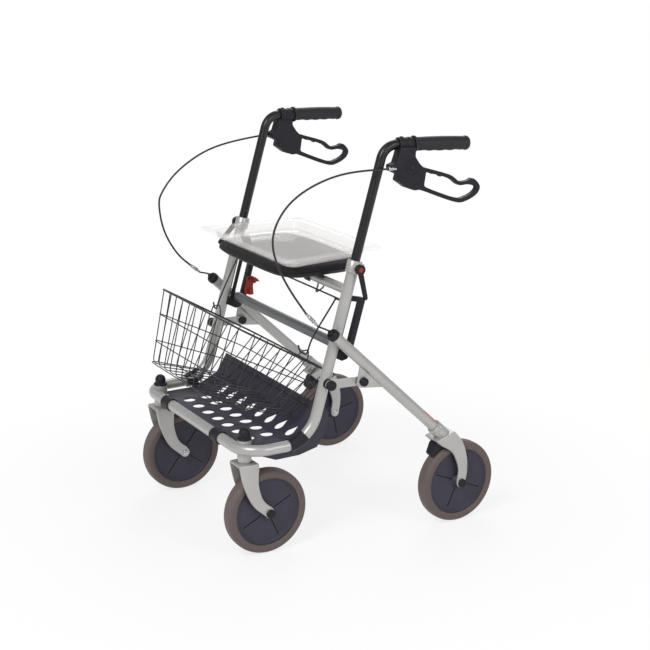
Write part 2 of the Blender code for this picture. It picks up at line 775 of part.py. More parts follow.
def lower_shelf():
    """Slotted kerb shelf: deck, ramp and rear wall in one sheet, cheeks, and clips on the tube."""
    front = LOOP_FRONT_Y + TUBE_RADIUS + 0.004
    fold = -0.1830
    ramp_top = (-0.1290, 0.2800)
    line = [(front, SHELF_DECK_Z), (fold - 0.008, SHELF_DECK_Z), (fold, SHELF_DECK_Z + 0.0015)]
    line += [ramp_top, (-0.1230, 0.2860), (-0.0980, 0.3270)]
    shelf = side_plate(ribbon(line, SHELF_SHEET), 0.0, 2 * SHELF_HALF_WIDTH)
    cheek = [
        (-0.0935, 0.3235),
        (-0.0832, 0.3110),
        (-0.0858, 0.2940),
        (-0.0988, 0.2553),
        (-0.1143, 0.2336),
        (-0.1600, 0.2230),
        (-0.2208, 0.2230),
        (-0.2560, 0.2380),
        (-0.2600, 0.2515),
        (fold, 0.2530),
        (-0.1290, 0.2795),
        (-0.1000, 0.3240),
    ]
    for side in SIDES.values():
        joined(shelf, side_plate(cheek, side * (SHELF_HALF_WIDTH - 0.0012), 0.0030))
    for side in SIDES.values():
        boss = Vector((side * SWIVEL_X, SWIVEL_Y, 0))
        cut(shelf, rod(boss + 0.22 * Z_AXIS, boss + 0.29 * Z_AXIS, BOSS_RADIUS + 0.004, 14))
        corner = side * SHELF_HALF_WIDTH
        cut(
            shelf,
            block(
                (min(corner, corner + side * 0.03) - 0.012, front - 0.01, 0.24),
                (max(corner, corner + side * 0.03) + 0.012, SWIVEL_Y + 0.012, 0.27),
            ),
        )
        joined(shelf, clip_on_front_tube(side * 0.130), clip_on_side_bend(side))
    holes = []
    for row, y in enumerate((-0.2450, -0.1980)):
        for k in range(-3, 4):
            at = (k * HOLE_PITCH, y, SHELF_DECK_Z)
            low, high = Vector(at) - 0.01 * Z_AXIS, Vector(at) + 0.01 * Z_AXIS
            holes.append(rod(low, high, HOLE_RADIUS, 10))
    slope = atan2(ramp_top[1] - SHELF_DECK_Z - 0.0015, ramp_top[0] - fold)
    middle = ((fold + ramp_top[0]) / 2, (SHELF_DECK_Z + 0.0015 + ramp_top[1]) / 2)
    holes += [drop_hole(k * DROP_PITCH, middle, slope) for k in range(-4, 5)]
    cut(shelf, *holes)
    return finish(shelf, "lower_shelf", "shelf_plastic")


# Casters and wheels


def caster_fork():
    """Left caster fork: spindle, thrust washer, top plate and two swept arms."""
    axle = FRONT_AXLE
    front_edge = flat_curve(
        [(-0.076, 0.1226), (-0.068, 0.0838), (-0.056, 0.0494), (-0.0396, 0.0218), (-0.0130, -0.0035)], 2
    )
    tip = arc((0.0, 0.0), 0.0120, radians(-140), radians(40), 6)
    rear_edge = flat_curve([(0.0045, 0.0150), (-0.0100, 0.0270), (-0.0215, 0.0458), (-0.0288, 0.0795), (-0.0268, 0.1150)], 2)
    outline = front_edge + tip + rear_edge
    outline += [(-0.0285, FORK_TOP_Z - axle.z), (-0.0740, FORK_TOP_Z - axle.z)]
    fork = softened(side_plate(moved(outline, axle), SWIVEL_X, 2 * FORK_HALF), 0.0020, 1, 60)
    inner = WHEEL_WIDTH / 2 + FORK_GAP
    plate = 0.0042
    hollow = block(
        (SWIVEL_X - inner, axle.y - 0.12, 0.02), (SWIVEL_X + inner, axle.y + 0.05, FORK_TOP_Z - plate)
    )
    cut(fork, hollow)
    hole = AXLE_RADIUS + RUNNING_GAP
    cut(fork, rod((SWIVEL_X - 0.1, axle.y, axle.z), (SWIVEL_X + 0.1, axle.y, axle.z), hole, PIN_SIDES))
    spindle = turned(
        [
            (0.0, FORK_TOP_Z - 0.002),
            (0.0135, FORK_TOP_Z - 0.002),
            (0.0135, BOSS_BOTTOM_Z - RUNNING_GAP),
            (SPINDLE_RADIUS, BOSS_BOTTOM_Z - RUNNING_GAP),
            (SPINDLE_RADIUS, BOSS_TOP_Z - 0.0075),
            (0.0, BOSS_TOP_Z - 0.0075),
        ],
        (SWIVEL_X, SWIVEL_Y, 0),
        Z_AXIS,
        14,
    )
    joined(fork, spindle)
    left = finish(fork, "caster_fork_left", "frame_paint", (SWIVEL_X, SWIVEL_Y, FORK_TOP_Z))
    mirrored(left)


def tyre_mesh():
    """Tyre about the X axis, a rounded tread over a bead that sits on the hub."""
    half = WHEEL_WIDTH / 2
    bead = HUB_RADIUS + RUNNING_GAP
    profile = [
        (bead, -half + 0.003),
        (WHEEL_RADIUS - 0.012, -half),
        (WHEEL_RADIUS - 0.003, -half + 0.005),
        (WHEEL_RADIUS, -half + 0.012),
        (WHEEL_RADIUS, half - 0.012),
        (WHEEL_RADIUS - 0.003, half - 0.005),
        (WHEEL_RADIUS - 0.012, half),
        (bead, half - 0.003),
    ]
    tyre = turned(profile, (0, 0, 0), X_AXIS, WHEEL_SIDES)
    mesh = tyre.data
    bpy.data.objects.remove(tyre)
    return mesh


def hub_mesh():
    """Disc hub about the X axis: rim, recessed web with four grooves a side, and boss."""
    half = WHEEL_WIDTH / 2
    web = 0.0105
    right = [
        (0.0140, half + 0.0025),
        (0.0165, web),
        (HUB_RADIUS - 0.0065, web),
        (HUB_RADIUS - 0.0045, half - 0.0045),
        (HUB_RADIUS, half - 0.0045),
    ]
    bore = AXLE_RADIUS + RUNNING_GAP
    profile = [(bore, half + 0.0025), *right]
    profile += [(radius, -x) for radius, x in reversed(right)]
    profile.append((bore, -half - 0.0025))
    hub = turned(profile, (0, 0, 0), X_AXIS, WHEEL_SIDES)
    for side in SIDES.values():
        for quarter in range(4):
            groove = block((-0.0015, 0.0200, -0.0011), (0.0030, HUB_RADIUS - 0.0100, 0.0011))
            turn = Matrix.Rotation(pi / WHEEL_SIDES + quarter * pi / 2, 4, "X")
            groove.data.transform(turn @ Matrix.Translation((side * web - 0.00075, 0, 0)))
            cut(hub, groove)
    mesh = hub.data
    bpy.data.objects.remove(hub)
    return mesh


def axle_bolt(x):
    """Bolt through fork and hub, with a domed head each side."""
    reach = FORK_HALF + RUNNING_GAP
    head = 0.0080
    profile = [
        (0.0, -reach - 0.0040),
        (head * 0.7, -reach - 0.0032),
        (head, -reach),
        (AXLE_RADIUS, -reach),
        (AXLE_RADIUS, reach),
        (head, reach),
        (head * 0.7, reach + 0.0032),
        (0.0, reach + 0.0040),
    ]
    return turned(profile, (x, 0, 0), X_AXIS, 10)


def wheels():
    """Four wheels, each a tyre, a hub and an axle bolt."""
    tyre = tyre_mesh()
    hub = hub_mesh()
    places = {"front": FRONT_AXLE, "rear": REAR_AXLE}
    for end, axle in places.items():
        for side_name, side in SIDES.items():
            place = Vector((side * axle.x, axle.y, axle.z))
            for kind, mesh, slot in (("tyre", tyre, "tyre_grey"), ("hub", hub, "hub_slate")):
                name = f"{end}_{kind}_{side_name}"
                obj = bpy.data.objects.new(name, mesh.copy())
                bpy.context.scene.collection.objects.link(obj)
                finish(obj, name, slot)
                obj.location = place
            bolt = axle_bolt(0.0)
            finish(bolt, f"{end}_axle_bolt_{side_name}", "bright_steel")
            bolt.location = place
    bpy.data.meshes.remove(tyre)
    bpy.data.meshes.remove(hub)


# Rear frame


def leg_point(along, under=0.0, x=0.0):
    """Point of the rear leg: distance down it from the slot pin, and below its axis."""
    place = SLOT_PIN + along * LEG_DOWN + under * LEG_UNDER
    return Vector((x, place.y, place.z))


def rear_leg():
    """Left rear leg: tube with a gusset plate under it that carries the link's pivot."""
    top = leg_point(-LEG_AHEAD, 0, LEG_X)
    end = leg_point(LEG_BEHIND, 0, LEG_X)
    leg = rod(top, end, TUBE_RADIUS, TUBE_SIDES)
    pivot = GUSSET_PIVOT
    start = leg_point(0.040, 0.004)
    low = leg_point(0.138, 0.006)
    angle_up = atan2(start.z - pivot.z, start.y - pivot.y)
    nose = 0.0150
    first = degrees(angle_up) + 62
    arc_points = arc((pivot.y, pivot.z), nose, radians(first), radians(272), 8)
    outline = [(start.y, start.z), *arc_points, (low.y, low.z)]
    gusset = side_plate(outline, LEG_X, GUSSET_THICKNESS)
    joined(leg, gusset)
    pin = Vector((0, SLOT_PIN.y, SLOT_PIN.z))
    cut(
        leg,
        rod(pin + (LEG_X - 0.04) * X_AXIS, pin + (LEG_X + 0.002) * X_AXIS, PIN_RADIUS + RUNNING_GAP, 14),
        rod(pivot + (LEG_X - 0.04) * X_AXIS, pivot + (LEG_X + 0.04) * X_AXIS, PIVOT_RADIUS + RUNNING_GAP, 14),
        rod(top - 0.01 * LEG_DOWN, top + 0.020 * LEG_DOWN, TUBE_RADIUS - TUBE_WALL, TUBE_SIDES),
    )
    mirrored(finish(leg, "rear_leg_left", "frame_paint"))


def leg_cap():
    """Black end plug of the leg's front end, with a plug in the tube and the cable's entry."""
    top = leg_point(-LEG_AHEAD, 0, LEG_X)
    up = -LEG_DOWN
    gap = RUNNING_GAP
    profile = [
        (0.0, -0.014),
        (TUBE_RADIUS - TUBE_WALL - gap, -0.014),
        (TUBE_RADIUS - TUBE_WALL - gap, gap),
        (TUBE_RADIUS + 0.0010, gap),
        (TUBE_RADIUS + 0.0010, 0.010),
        (TUBE_RADIUS - 0.0015, 0.0145),
        (0.0060, 0.0165),
        (0.0050, 0.0205),
        (0.0, 0.0205),
    ]
    cap = turned(profile, top, up, 14)
    cable_hole = rod(top + 0.010 * up, top + 0.04 * up, CABLE_RADIUS + RUNNING_GAP, 10)
    cut(cap, cable_hole)
    mirrored(finish(cap, "leg_cap_left", "black_plastic"))


def rear_cross_tube():
    """Grooved cross tube with a slim pin at each end that runs in the guides into the legs."""
    centre = Vector((0, SLOT_PIN.y, SLOT_PIN.z))
    half = CROSS_HALF_LENGTH
    pin_end = LEG_X + 0.002 - RUNNING_GAP
    profile = [
        (0.0, -pin_end),
        (PIN_RADIUS, -pin_end),
        (PIN_RADIUS, -half),
        (CROSS_PROFILE_RADIUS, -half),
        (CROSS_PROFILE_RADIUS, half),
        (PIN_RADIUS, half),
        (PIN_RADIUS, pin_end),
        (0.0, pin_end),
    ]
    tube = turned(profile, centre, X_AXIS, 20)
    grooves = []
    for angle in (110, 142, 174, 206):
        out = Vector((0, cos(radians(angle)), sin(radians(angle))))
        at = centre + (CROSS_PROFILE_RADIUS + 0.0003) * out
        grooves.append(rod(at - (half - 0.012) * X_AXIS, at + (half - 0.012) * X_AXIS, 0.0012, 4))
    cut(tube, *grooves)
    return finish(tube, "rear_cross_tube", "cross_tube", centre)


def rear_fork():
    """Left rear fork: collar on the leg's lower end and two arms that curve down to the axle."""
    axle = REAR_AXLE
    outer = flat_curve([(-0.0230, 0.1340), (0.0020, 0.1020), (0.0150, 0.0610), (0.0160, 0.0240), (0.0118, 0.0035)], 2)
    tip = arc((0.0, 0.0), 0.0120, radians(10), radians(-190), 6)
    inner = flat_curve([(-0.0118, 0.0100), (-0.0095, 0.0385), (-0.0270, 0.0800), (-0.0600, 0.1040)], 2)
    outline = outer + tip + inner + [(-0.0740, 0.1180)]
    fork = softened(side_plate(moved(outline, axle), axle.x, 2 * FORK_HALF), 0.0020, 1, 60)
    clear = WHEEL_RADIUS + 0.0075
    half = WHEEL_WIDTH / 2 + FORK_GAP
    inside = rod((axle.x - half, axle.y, axle.z), (axle.x + half, axle.y, axle.z), clear, 28)
    cut(fork, inside)
    well_start = leg_point(LEG_BEHIND - 0.038, 0, LEG_X)
    collar_end = leg_point(LEG_BEHIND + 0.033, 0, LEG_X)
    outside = TUBE_RADIUS + 0.0042
    collar = turned(
        [
            (0.0, 0.0),
            (outside - 0.0012, 0.0),
            (outside, 0.0012),
            (outside, (collar_end - well_start).length),
            (0.0, (collar_end - well_start).length),
        ],
        well_start,
        LEG_DOWN,
        16,
    )
    joined(fork, collar)
    seat = leg_point(LEG_BEHIND + RUNNING_GAP, 0, LEG_X)
    well = rod(well_start - 0.05 * LEG_DOWN, seat, TUBE_RADIUS + RUNNING_GAP, TUBE_SIDES)
    hole = AXLE_RADIUS + RUNNING_GAP
    bolt = rod((axle.x - 0.1, axle.y, axle.z), (axle.x + 0.1, axle.y, axle.z), hole, PIN_SIDES)
    cut(fork, well, shoe_pocket(RUNNING_GAP + 0.0040), bolt)
    mirrored(finish(fork, "rear_fork_left", "frame_paint"))


SHOE_WAY = radians(126)
SHOE_HALF_WIDTH = 0.0120


def shoe_outline(grow):
    """Side outline of the brake shoe, grown by the given clearance."""
    inner = WHEEL_RADIUS + SHOE_GAP
    points = arc((0, 0), inner, SHOE_WAY - 0.16, SHOE_WAY + 0.16, 6)
    outer = arc((0, 0), inner + 0.0230 + grow, SHOE_WAY + 0.13, SHOE_WAY - 0.13, 3)
    if grow:
        points = arc((0, 0), WHEEL_RADIUS, SHOE_WAY - 0.16 - grow * 10, SHOE_WAY + 0.16 + grow * 10, 6)
        outer = arc(
            (0, 0), inner + 0.0230 + grow, SHOE_WAY + 0.13 + grow * 10, SHOE_WAY - 0.13 - grow * 10, 3
        )
    return moved(points + outer, REAR_AXLE)


def shoe_pocket(grow):
    """Cutter of the fork's pocket in which the shoe travels."""
    return side_plate(shoe_outline(grow), REAR_AXLE.x, 2 * (SHOE_HALF_WIDTH + SLIDING_GAP))


def brake_shoe():
    """Brake shoe over the tyre, its face curved to the tread."""
    shoe = softened(side_plate(shoe_outline(0.0), REAR_AXLE.x, 2 * SHOE_HALF_WIDTH), 0.0010)
    mirrored(finish(shoe, "brake_shoe_left", "black_plastic"))


# Fold links


def fold_link():
    """Flat bar with round ends between the upright's pivot and the gusset's pivot."""
    start, end = FOLD_PIVOT, GUSSET_PIVOT
    way = atan2(end.z - start.z, end.y - start.y)
    outline = arc((start.y, start.z), LINK_HALF_WIDTH, way + pi / 2, way + 3 * pi / 2, 7)
    outline += arc((end.y, end.z), LINK_HALF_WIDTH, way - pi / 2, way + pi / 2, 7)
    link = side_plate(outline, LINK_X, LINK_THICKNESS)
    hole = PIVOT_RADIUS + RUNNING_GAP
    for pivot in (start, end):
        cut(link, rod(pivot + (LINK_X - 0.04) * X_AXIS, pivot + (LINK_X + 0.04) * X_AXIS, hole, PIN_SIDES))
    mirrored(finish(link, "fold_link_left", "frame_paint", start))


def knobbed_pin(name, pivot, start, inner_knob, outer_knob):
    """Pivot pin about X with two round black heads, each given as (start x, end x, radius)."""
    first, second = inner_knob, outer_knob
    profile = [(0.0, start), (PIVOT_RADIUS, start)]
    if start > first[0] - 1e-6:
        profile = [(0.0, first[0])]
    profile += [
        (first[2], first[0]),
        (first[2], first[1]),
        (PIVOT_RADIUS, first[1]),
        (PIVOT_RADIUS, second[0]),
        (second[2], second[0]),
        (second[2], second[1] - 0.002),
        (second[2] - 0.002, second[1]),
        (0.0, second[1]),
    ]
    if start < first[0] - 1e-6:
        profile.insert(2, (PIVOT_RADIUS, first[0]))
    pin = turned(profile, (0, pivot.y, pivot.z), X_AXIS, 14)
    mirrored(finish(pin, name, "black_plastic"))


def pivot_pins():
    """Pins of the fold links, at the upright and at the gusset."""
    link_in = LINK_X - LINK_THICKNESS / 2 - RUNNING_GAP
    link_out = LINK_X + LINK_THICKNESS / 2 + RUNNING_GAP
    wall = UPRIGHT_X + TUBE_RADIUS + RUNNING_GAP
    knobbed_pin(
        "upright_pivot_pin_left",
        FOLD_PIVOT,
        UPRIGHT_X + TUBE_RADIUS - TUBE_WALL + 0.0001,
        (wall, link_in, 0.0115),
        (link_out, link_out + 0.0115, 0.0115),
    )
    plate_out = LEG_X + GUSSET_THICKNESS / 2 + RUNNING_GAP
    knobbed_pin(
        "gusset_pivot_pin_left",
        GUSSET_PIVOT,
        1.0,
        (link_in - 0.0052, link_in, 0.0100),
        (plate_out, plate_out + 0.0105, 0.0100),
    )


# Handles


def handle_frame():
    """Matrix of the left handle: its +Y runs back along the grip from the bend's corner."""
    corner = Matrix.Translation((UPRIGHT_X, HANDLE_CORNER.y, HANDLE_CORNER.z))
    return corner @ Matrix.Rotation(-HANDLE_SPLAY, 4, "Z") @ Matrix.Rotation(HANDLE_PITCH, 4, "X")


def in_handle(obj):
    """Moves a piece modelled in the handle's own frame to its place."""
    obj.data.transform(handle_frame())
    return obj


def handle_tube():
    """Telescoping tube, bent back at the top to carry the brake and the grip."""
    corner = HANDLE_CORNER + UPRIGHT_X * X_AXIS
    back = (handle_frame().to_3x3() @ Y_AXIS).normalized()
    turn = ALONG.angle(back)
    tangent = HANDLE_BEND_RADIUS * tan(turn / 2)
    start = corner - tangent * ALONG
    normal = (back - back.dot(ALONG) * ALONG).normalized()
    centre = start + HANDLE_BEND_RADIUS * normal
    line = [UPRIGHT_TOP - HANDLE_INSERTED * ALONG + UPRIGHT_X * X_AXIS]
    for i in range(8):
        angle = turn * i / 7
        line.append(centre + HANDLE_BEND_RADIUS * (-cos(angle) * normal + sin(angle) * ALONG))
    line.append(corner + (GRIP_START + GRIP_LENGTH - 0.012) * back)
    tube = swept(line, HANDLE_RADIUS, 14)
    mirrored(finish(tube, "handle_tube_left", "handle_black"))


def grip():
    """Rubber grip: flange at the front, a waisted body and a rounded closed end."""
    bore = HANDLE_RADIUS + RUNNING_GAP
    length = GRIP_LENGTH
    profile = [
        (bore, 0.0),
        (GRIP_RADIUS + 0.0032, 0.0),
        (GRIP_RADIUS + 0.0030, 0.0050),
        (GRIP_RADIUS - 0.0008, 0.0110),
        (GRIP_RADIUS + 0.0006, 0.070),
        (GRIP_RADIUS + 0.0002, length - 0.024),
        (GRIP_RADIUS + 0.0010, length - 0.010),
        (GRIP_RADIUS - 0.0020, length - 0.0010),
        (0.0, length),
        (0.0, length - 0.0117),
        (bore, length - 0.0117),
    ]
    bm = bmesh.new()
    points = [bm.verts.new((radius, 0.0, along)) for radius, along in profile]
    edges = [bm.edges.new(pair) for pair in zip(points, points[1:] + points[:1]) if pair != (points[8], points[9])]
    bmesh.ops.spin(bm, geom=points + edges, cent=(0, 0, 0), axis=(0, 0, 1), angle=2 * pi, steps=TUBE_SIDES)
    bmesh.ops.remove_doubles(bm, verts=bm.verts, dist=1e-6)
    bmesh.ops.dissolve_degenerate(bm, edges=bm.edges, dist=1e-6)
    bmesh.ops.transform(bm, matrix=pointing(Y_AXIS, GRIP_START * Y_AXIS), verts=bm.verts)
    mirrored(finish(in_handle(as_object(bm)), "grip_left", "grip_rubber"))


HOUSING_X = 0.0060
HOUSING_WIDTH = 0.0280
LEVER_PIVOT = Vector((HOUSING_X, 0.0640, -0.0480))
SLOT_HALF = LEVER_THICKNESS / 2 + RUNNING_GAP + 0.0003
BARREL_PLACE = (0.0100, -0.0510)


def housing_outline():
    """Side outline (y, z) of the brake housing in the handle's frame."""
    return [
        (0.0320, -0.0040),
        (0.0700, -0.0040),
        (0.0705, -0.0260),
        (0.0830, -0.0420),
        (0.0955, -0.0520),
        (0.0975, -0.0640),
        (0.0945, -0.0870),
        (0.0975, -0.0985),
        (0.0730, -0.1010),
        (0.0540, -0.0950),
        (0.0290, -0.0790),
        (0.0320, -0.0655),
        (0.0110, -0.0570),
        (0.0100, -0.0445),
        (0.0225, -0.0395),
        (0.0270, -0.0250),
    ]


def brake_housing():
    """Moulded brake housing: clamp band on the tube, two cheeks round the lever, cable nose."""
    body = softened(side_plate(housing_outline(), HOUSING_X, HOUSING_WIDTH), 0.0025, 1, 50)
    band = turned(
        [(0.0, 0.0), (0.0150, 0.0), (0.0160, 0.001), (0.0160, 0.0370), (0.0150, 0.038), (0.0, 0.038)],
        (0, 0.0325, 0),
        Y_AXIS,
        16,
    )
    joined(body, band)
    bore = rod((0, 0.0, 0), (0, 0.12, 0), HANDLE_RADIUS + RUNNING_GAP, TUBE_SIDES)
    pivot = LEVER_PIVOT
    slot = side_plate(
        [
            (pivot.y - 0.0190, pivot.z + 0.0190),
            (0.1200, pivot.z + 0.0190),
            (0.1200, -0.1300),
            (pivot.y - 0.0080, -0.1300),
            (pivot.y - 0.0190, -0.0700),
        ],
        HOUSING_X,
        2 * SLOT_HALF,
    )
    cut(body, bore, slot)
    reach = HOUSING_WIDTH / 2 - 0.002
    pin = rod(pivot - reach * X_AXIS, pivot + reach * X_AXIS, LEVER_PIN_RADIUS, 10)
    barrel_y, barrel_z = BARREL_PLACE
    barrel = turned(
        [
            (0.0, -0.0060),
            (BARREL_RADIUS - 0.0012, -0.0060),
            (BARREL_RADIUS, -0.0048),
            (BARREL_RADIUS, 0.0150),
            (0.0, 0.0150),
        ],
        (CABLE_OFFSET, barrel_y, barrel_z),
        Y_AXIS,
        8,
    )
    joined(body, pin, barrel)
    mirrored(finish(in_handle(body), "brake_housing_left", "black_plastic"))


def lever_loops():
    """Outer and inner outlines of the loop lever in the handle's frame, each (y, z)."""
    outer = flat_curve(
        [
            (0.0700, -0.0370),
            (0.0960, -0.0500),
            (0.1660, -0.0690),
            (0.1930, -0.0850),
            (0.2150, -0.0845),
            (0.2310, -0.0800),
            (0.2490, -0.0970),
            (0.2430, -0.1150),
            (0.2160, -0.1300),
            (0.1850, -0.1320),
            (0.1060, -0.1060),
            (0.0820, -0.0990),
        ],
        2,
    )
    inner = flat_curve(
        [
            (0.1040, -0.0620),
            (0.1640, -0.0775),
            (0.1910, -0.0935),
            (0.2160, -0.0930),
            (0.2385, -0.0990),
            (0.2340, -0.1100),
            (0.2130, -0.1205),
            (0.1860, -0.1225),
            (0.1120, -0.0980),
            (0.1010, -0.0900),
        ],
        2,
    )
    return outer, inner


def brake_lever():
    """Loop lever: a round root on the pivot pin, two arms and a closed finger hole."""
    pivot = LEVER_PIVOT
    outer, inner = lever_loops()
    lever = side_plate(outer, HOUSING_X, LEVER_THICKNESS)
    inner_cut = side_plate(inner, HOUSING_X, LEVER_THICKNESS * 2)
    cut(lever, inner_cut)
    softened(lever, 0.0018, 1, 50)
    half = LEVER_THICKNESS / 2
    root = rod(pivot - half * X_AXIS, pivot + half * X_AXIS, 0.0130, 14)
    joined(lever, root)
    cut(lever, rod(pivot - 0.05 * X_AXIS, pivot + 0.05 * X_AXIS, LEVER_PIN_RADIUS + RUNNING_GAP, 10))
    for y, z in ((0.1200, -0.0640), (0.1420, -0.0705)):
        joined(lever, rod((HOUSING_X - half, y, z), (HOUSING_X + half, y, z), 0.0028, 6))
    place = handle_frame() @ pivot
    lever = in_handle(lever)
    mirrored(finish(lever, "brake_lever_left", "black_plastic", place))


# Cables

CABLE_STEPS = 3
UPPER_ROUTES = {
    "left": [(-0.0040, 0.8645), (-0.0700, 0.8655), (-0.1560, 0.8430), (-0.2160, 0.8050), (-0.2482, 0.7485)],
    "right": [(-0.0080, 0.8655), (-0.1030, 0.8470), (-0.1990, 0.7980), (-0.2450, 0.7480), (-0.2550, 0.7150)],
}
LOWER_ROUTES = {
    "left": [(-0.2482, 0.7485), (-0.2413, 0.6897), (-0.2090, 0.6247), (-0.1700, 0.5675)],
    "right": [(-0.2550, 0.7150), (-0.2422, 0.6484), (-0.2074, 0.5885), (-0.1740, 0.5570)],
}
ADJUSTERS = {
    "left": [(-0.1700, 0.5675), (-0.1455, 0.5400)],
    "right": [(-0.1740, 0.5570), (-0.1470, 0.5355)],
}


def route_points(route, x_start, x_end, side):
    """The route's (y, z) points in space, x running evenly from start to end."""
    last = len(route) - 1
    return [
        Vector((side * (x_start + (x_end - x_start) * i / last), y, z)) for i, (y, z) in enumerate(route)
    ]


def barrel_end():
    """Front end of the silver barrel at the housing, in world space."""
    y, z = BARREL_PLACE
    return handle_frame() @ Vector((CABLE_OFFSET, y - 0.0060, z))


def cables():
    """Brake cables, each in an upper run on the handle, a lower run and an in-line adjuster."""
    cap_hole = leg_point(-LEG_AHEAD - 0.0110, 0, LEG_X)
    for name, side in SIDES.items():
        start = barrel_end()
        start = Vector((side * start.x, start.y - RUNNING_GAP, start.z))
        upper = [start, *route_points(UPPER_ROUTES[name], CABLE_X, LEG_X - 0.0140, side)[1:]]
        lower = route_points(LOWER_ROUTES[name], LEG_X - 0.0140, LEG_X - 0.0080, side)
        ends = route_points(ADJUSTERS[name], LEG_X - 0.0080, LEG_X - 0.0040, side)
        way = (ends[1] - ends[0]).normalized()
        length = (ends[1] - ends[0]).length
        line = smooth_line(upper + lower[1:], CABLE_STEPS)
        meet = (len(upper) - 1) * CABLE_STEPS
        split = line[meet]
        along = (line[meet + 1] - line[meet - 1]).normalized()
        above = line[:meet] + [split - 0.003 * along, split - RUNNING_GAP / 2 * along]
        below = [split + RUNNING_GAP / 2 * along, split + 0.003 * along]
        below += line[meet + 1 : -1] + [ends[0] - 0.004 * way, ends[0]]
        above_run = swept(above, CABLE_RADIUS, 8)
        finish(above_run, f"brake_cable_upper_{name}", "cable_black", split)
        below_run = swept(below, CABLE_RADIUS, 8)
        finish(below_run, f"brake_cable_lower_{name}", "cable_black", ends[0])
        profile = [
            (0.0, RUNNING_GAP),
            (0.0030, RUNNING_GAP),
            (0.0030, 0.010),
            (0.0045, 0.012),
            (0.0045, 0.022),
            (0.0032, 0.024),
            (0.0032, length),
            (0.0, length),
        ]
        body = turned(profile, ends[0], way, 8)
        stub_end = Vector((side * cap_hole.x, cap_hole.y, cap_hole.z))
        stub_line = [ends[1] - 0.004 * way, ends[1] + 0.005 * way]
        stub_line += [stub_end - 0.014 * LEG_DOWN, stub_end]
        joined(body, swept(stub_line, CABLE_RADIUS - RUNNING_GAP, 8))
        finish(body, f"cable_adjuster_{name}", "bright_steel", ends[0])


# Seat and tray


def seat():
    """Padded seat: crowned top, drawn-in sides, and two half rings that clip on the cross tube."""
    bm = bmesh.new()
    across, deep = 10, 6
    half_depth = (SEAT_REAR_Y - SEAT_FRONT_Y) / 2
    centre_y = (SEAT_REAR_Y + SEAT_FRONT_Y) / 2
    exponent = 5.0

    def sheet(z_middle, z_edge, inset):
        rows = []
        for j in range(deep + 1):
            row = []
            for i in range(across + 1):
                u, v = 2 * i / across - 1, 2 * j / deep - 1
                reach = (abs(u) ** exponent + abs(v) ** exponent) ** (1 / exponent)
                square = max(abs(u), abs(v))
                scale = square / reach if reach > 1e-9 else 1.0
                x = u * scale * (SEAT_HALF_WIDTH - inset)
                y = centre_y + v * scale * (half_depth - inset)
                drop_share = square**4
                z = z_middle + (z_edge - z_middle) * drop_share
                row.append(bm.verts.new((x, y, z)))
            rows.append(row)
        for j in range(deep):
            for i in range(across):
                bm.faces.new((rows[j][i], rows[j][i + 1], rows[j + 1][i + 1], rows[j + 1][i]))
        ring = [rows[0][i] for i in range(across)] + [rows[j][across] for j in range(deep)]
        ring += [rows[deep][i] for i in range(across, 0, -1)] + [rows[j][0] for j in range(deep, 0, -1)]
        return ring

    middle_z = (SEAT_BOTTOM_Z + SEAT_TOP_Z) / 2 + 0.003
    top = sheet(SEAT_TOP_Z, SEAT_TOP_Z - 0.0060, 0.0040)
    low = sheet(SEAT_BOTTOM_Z, SEAT_BOTTOM_Z + 0.0090, 0.0120)
    edge = []
    for a, b in zip(top, low):
        flat = Vector((a.co.x, a.co.y - centre_y, 0)).normalized()
        edge.append(bm.verts.new(Vector((a.co.x, a.co.y, middle_z)) + 0.004 * flat))
    for upper, under in ((top, edge), (edge, low)):
        for i in range(len(upper)):
            k = (i + 1) % len(upper)
            bm.faces.new((upper[i], upper[k], under[k], under[i]))
    pad = as_object(bm)
    hinge = upright_point(CROSS_Z)
    for side in SIDES.values():
        x = side * 0.105
        ring = turned(
            [
                (CROSS_RADIUS + RUNNING_GAP, x - 0.011),
                (CROSS_RADIUS + 0.0040, x - 0.011),
                (CROSS_RADIUS + 0.0040, x + 0.011),
                (CROSS_RADIUS + RUNNING_GAP, x + 0.011),
            ],
            (0, hinge.y, hinge.z),
            X_AXIS,
            TUBE_SIDES,
        )
        mouth = block((x - 0.02, hinge.y - 0.0085, hinge.z - 0.03), (x + 0.02, hinge.y + 0.0085, hinge.z))
        cut(ring, mouth)
        foot = block(
            (x - 0.011, hinge.y - 0.010, hinge.z + CROSS_RADIUS + 0.0010),
            (x + 0.011, hinge.y + 0.010, SEAT_BOTTOM_Z + 0.004),
        )
        joined(pad, ring, foot)
    tube = rod(hinge - 0.2 * X_AXIS, hinge + 0.2 * X_AXIS, CROSS_RADIUS + RUNNING_GAP, TUBE_SIDES)
    cut(pad, tube)
    return finish(pad, "seat", "seat_black", hinge)


def rounded_quad(front_half, rear_half, front_y, rear_y, radius, steps=4):
    """Outline (x, y) of a trapezoid with rounded corners."""
    corners = [
        (rear_half - radius, rear_y - radius, 0),
        (-rear_half + radius, rear_y - radius, 90),
        (-front_half + radius, front_y + radius, 180),
        (front_half - radius, front_y + radius, 270),
    ]
    outline = []
    for x, y, start in corners:
        for i in range(steps + 1):
            angle = radians(start + 90 * i / steps)
            outline.append((x + radius * cos(angle), y + radius * sin(angle)))
    return outline


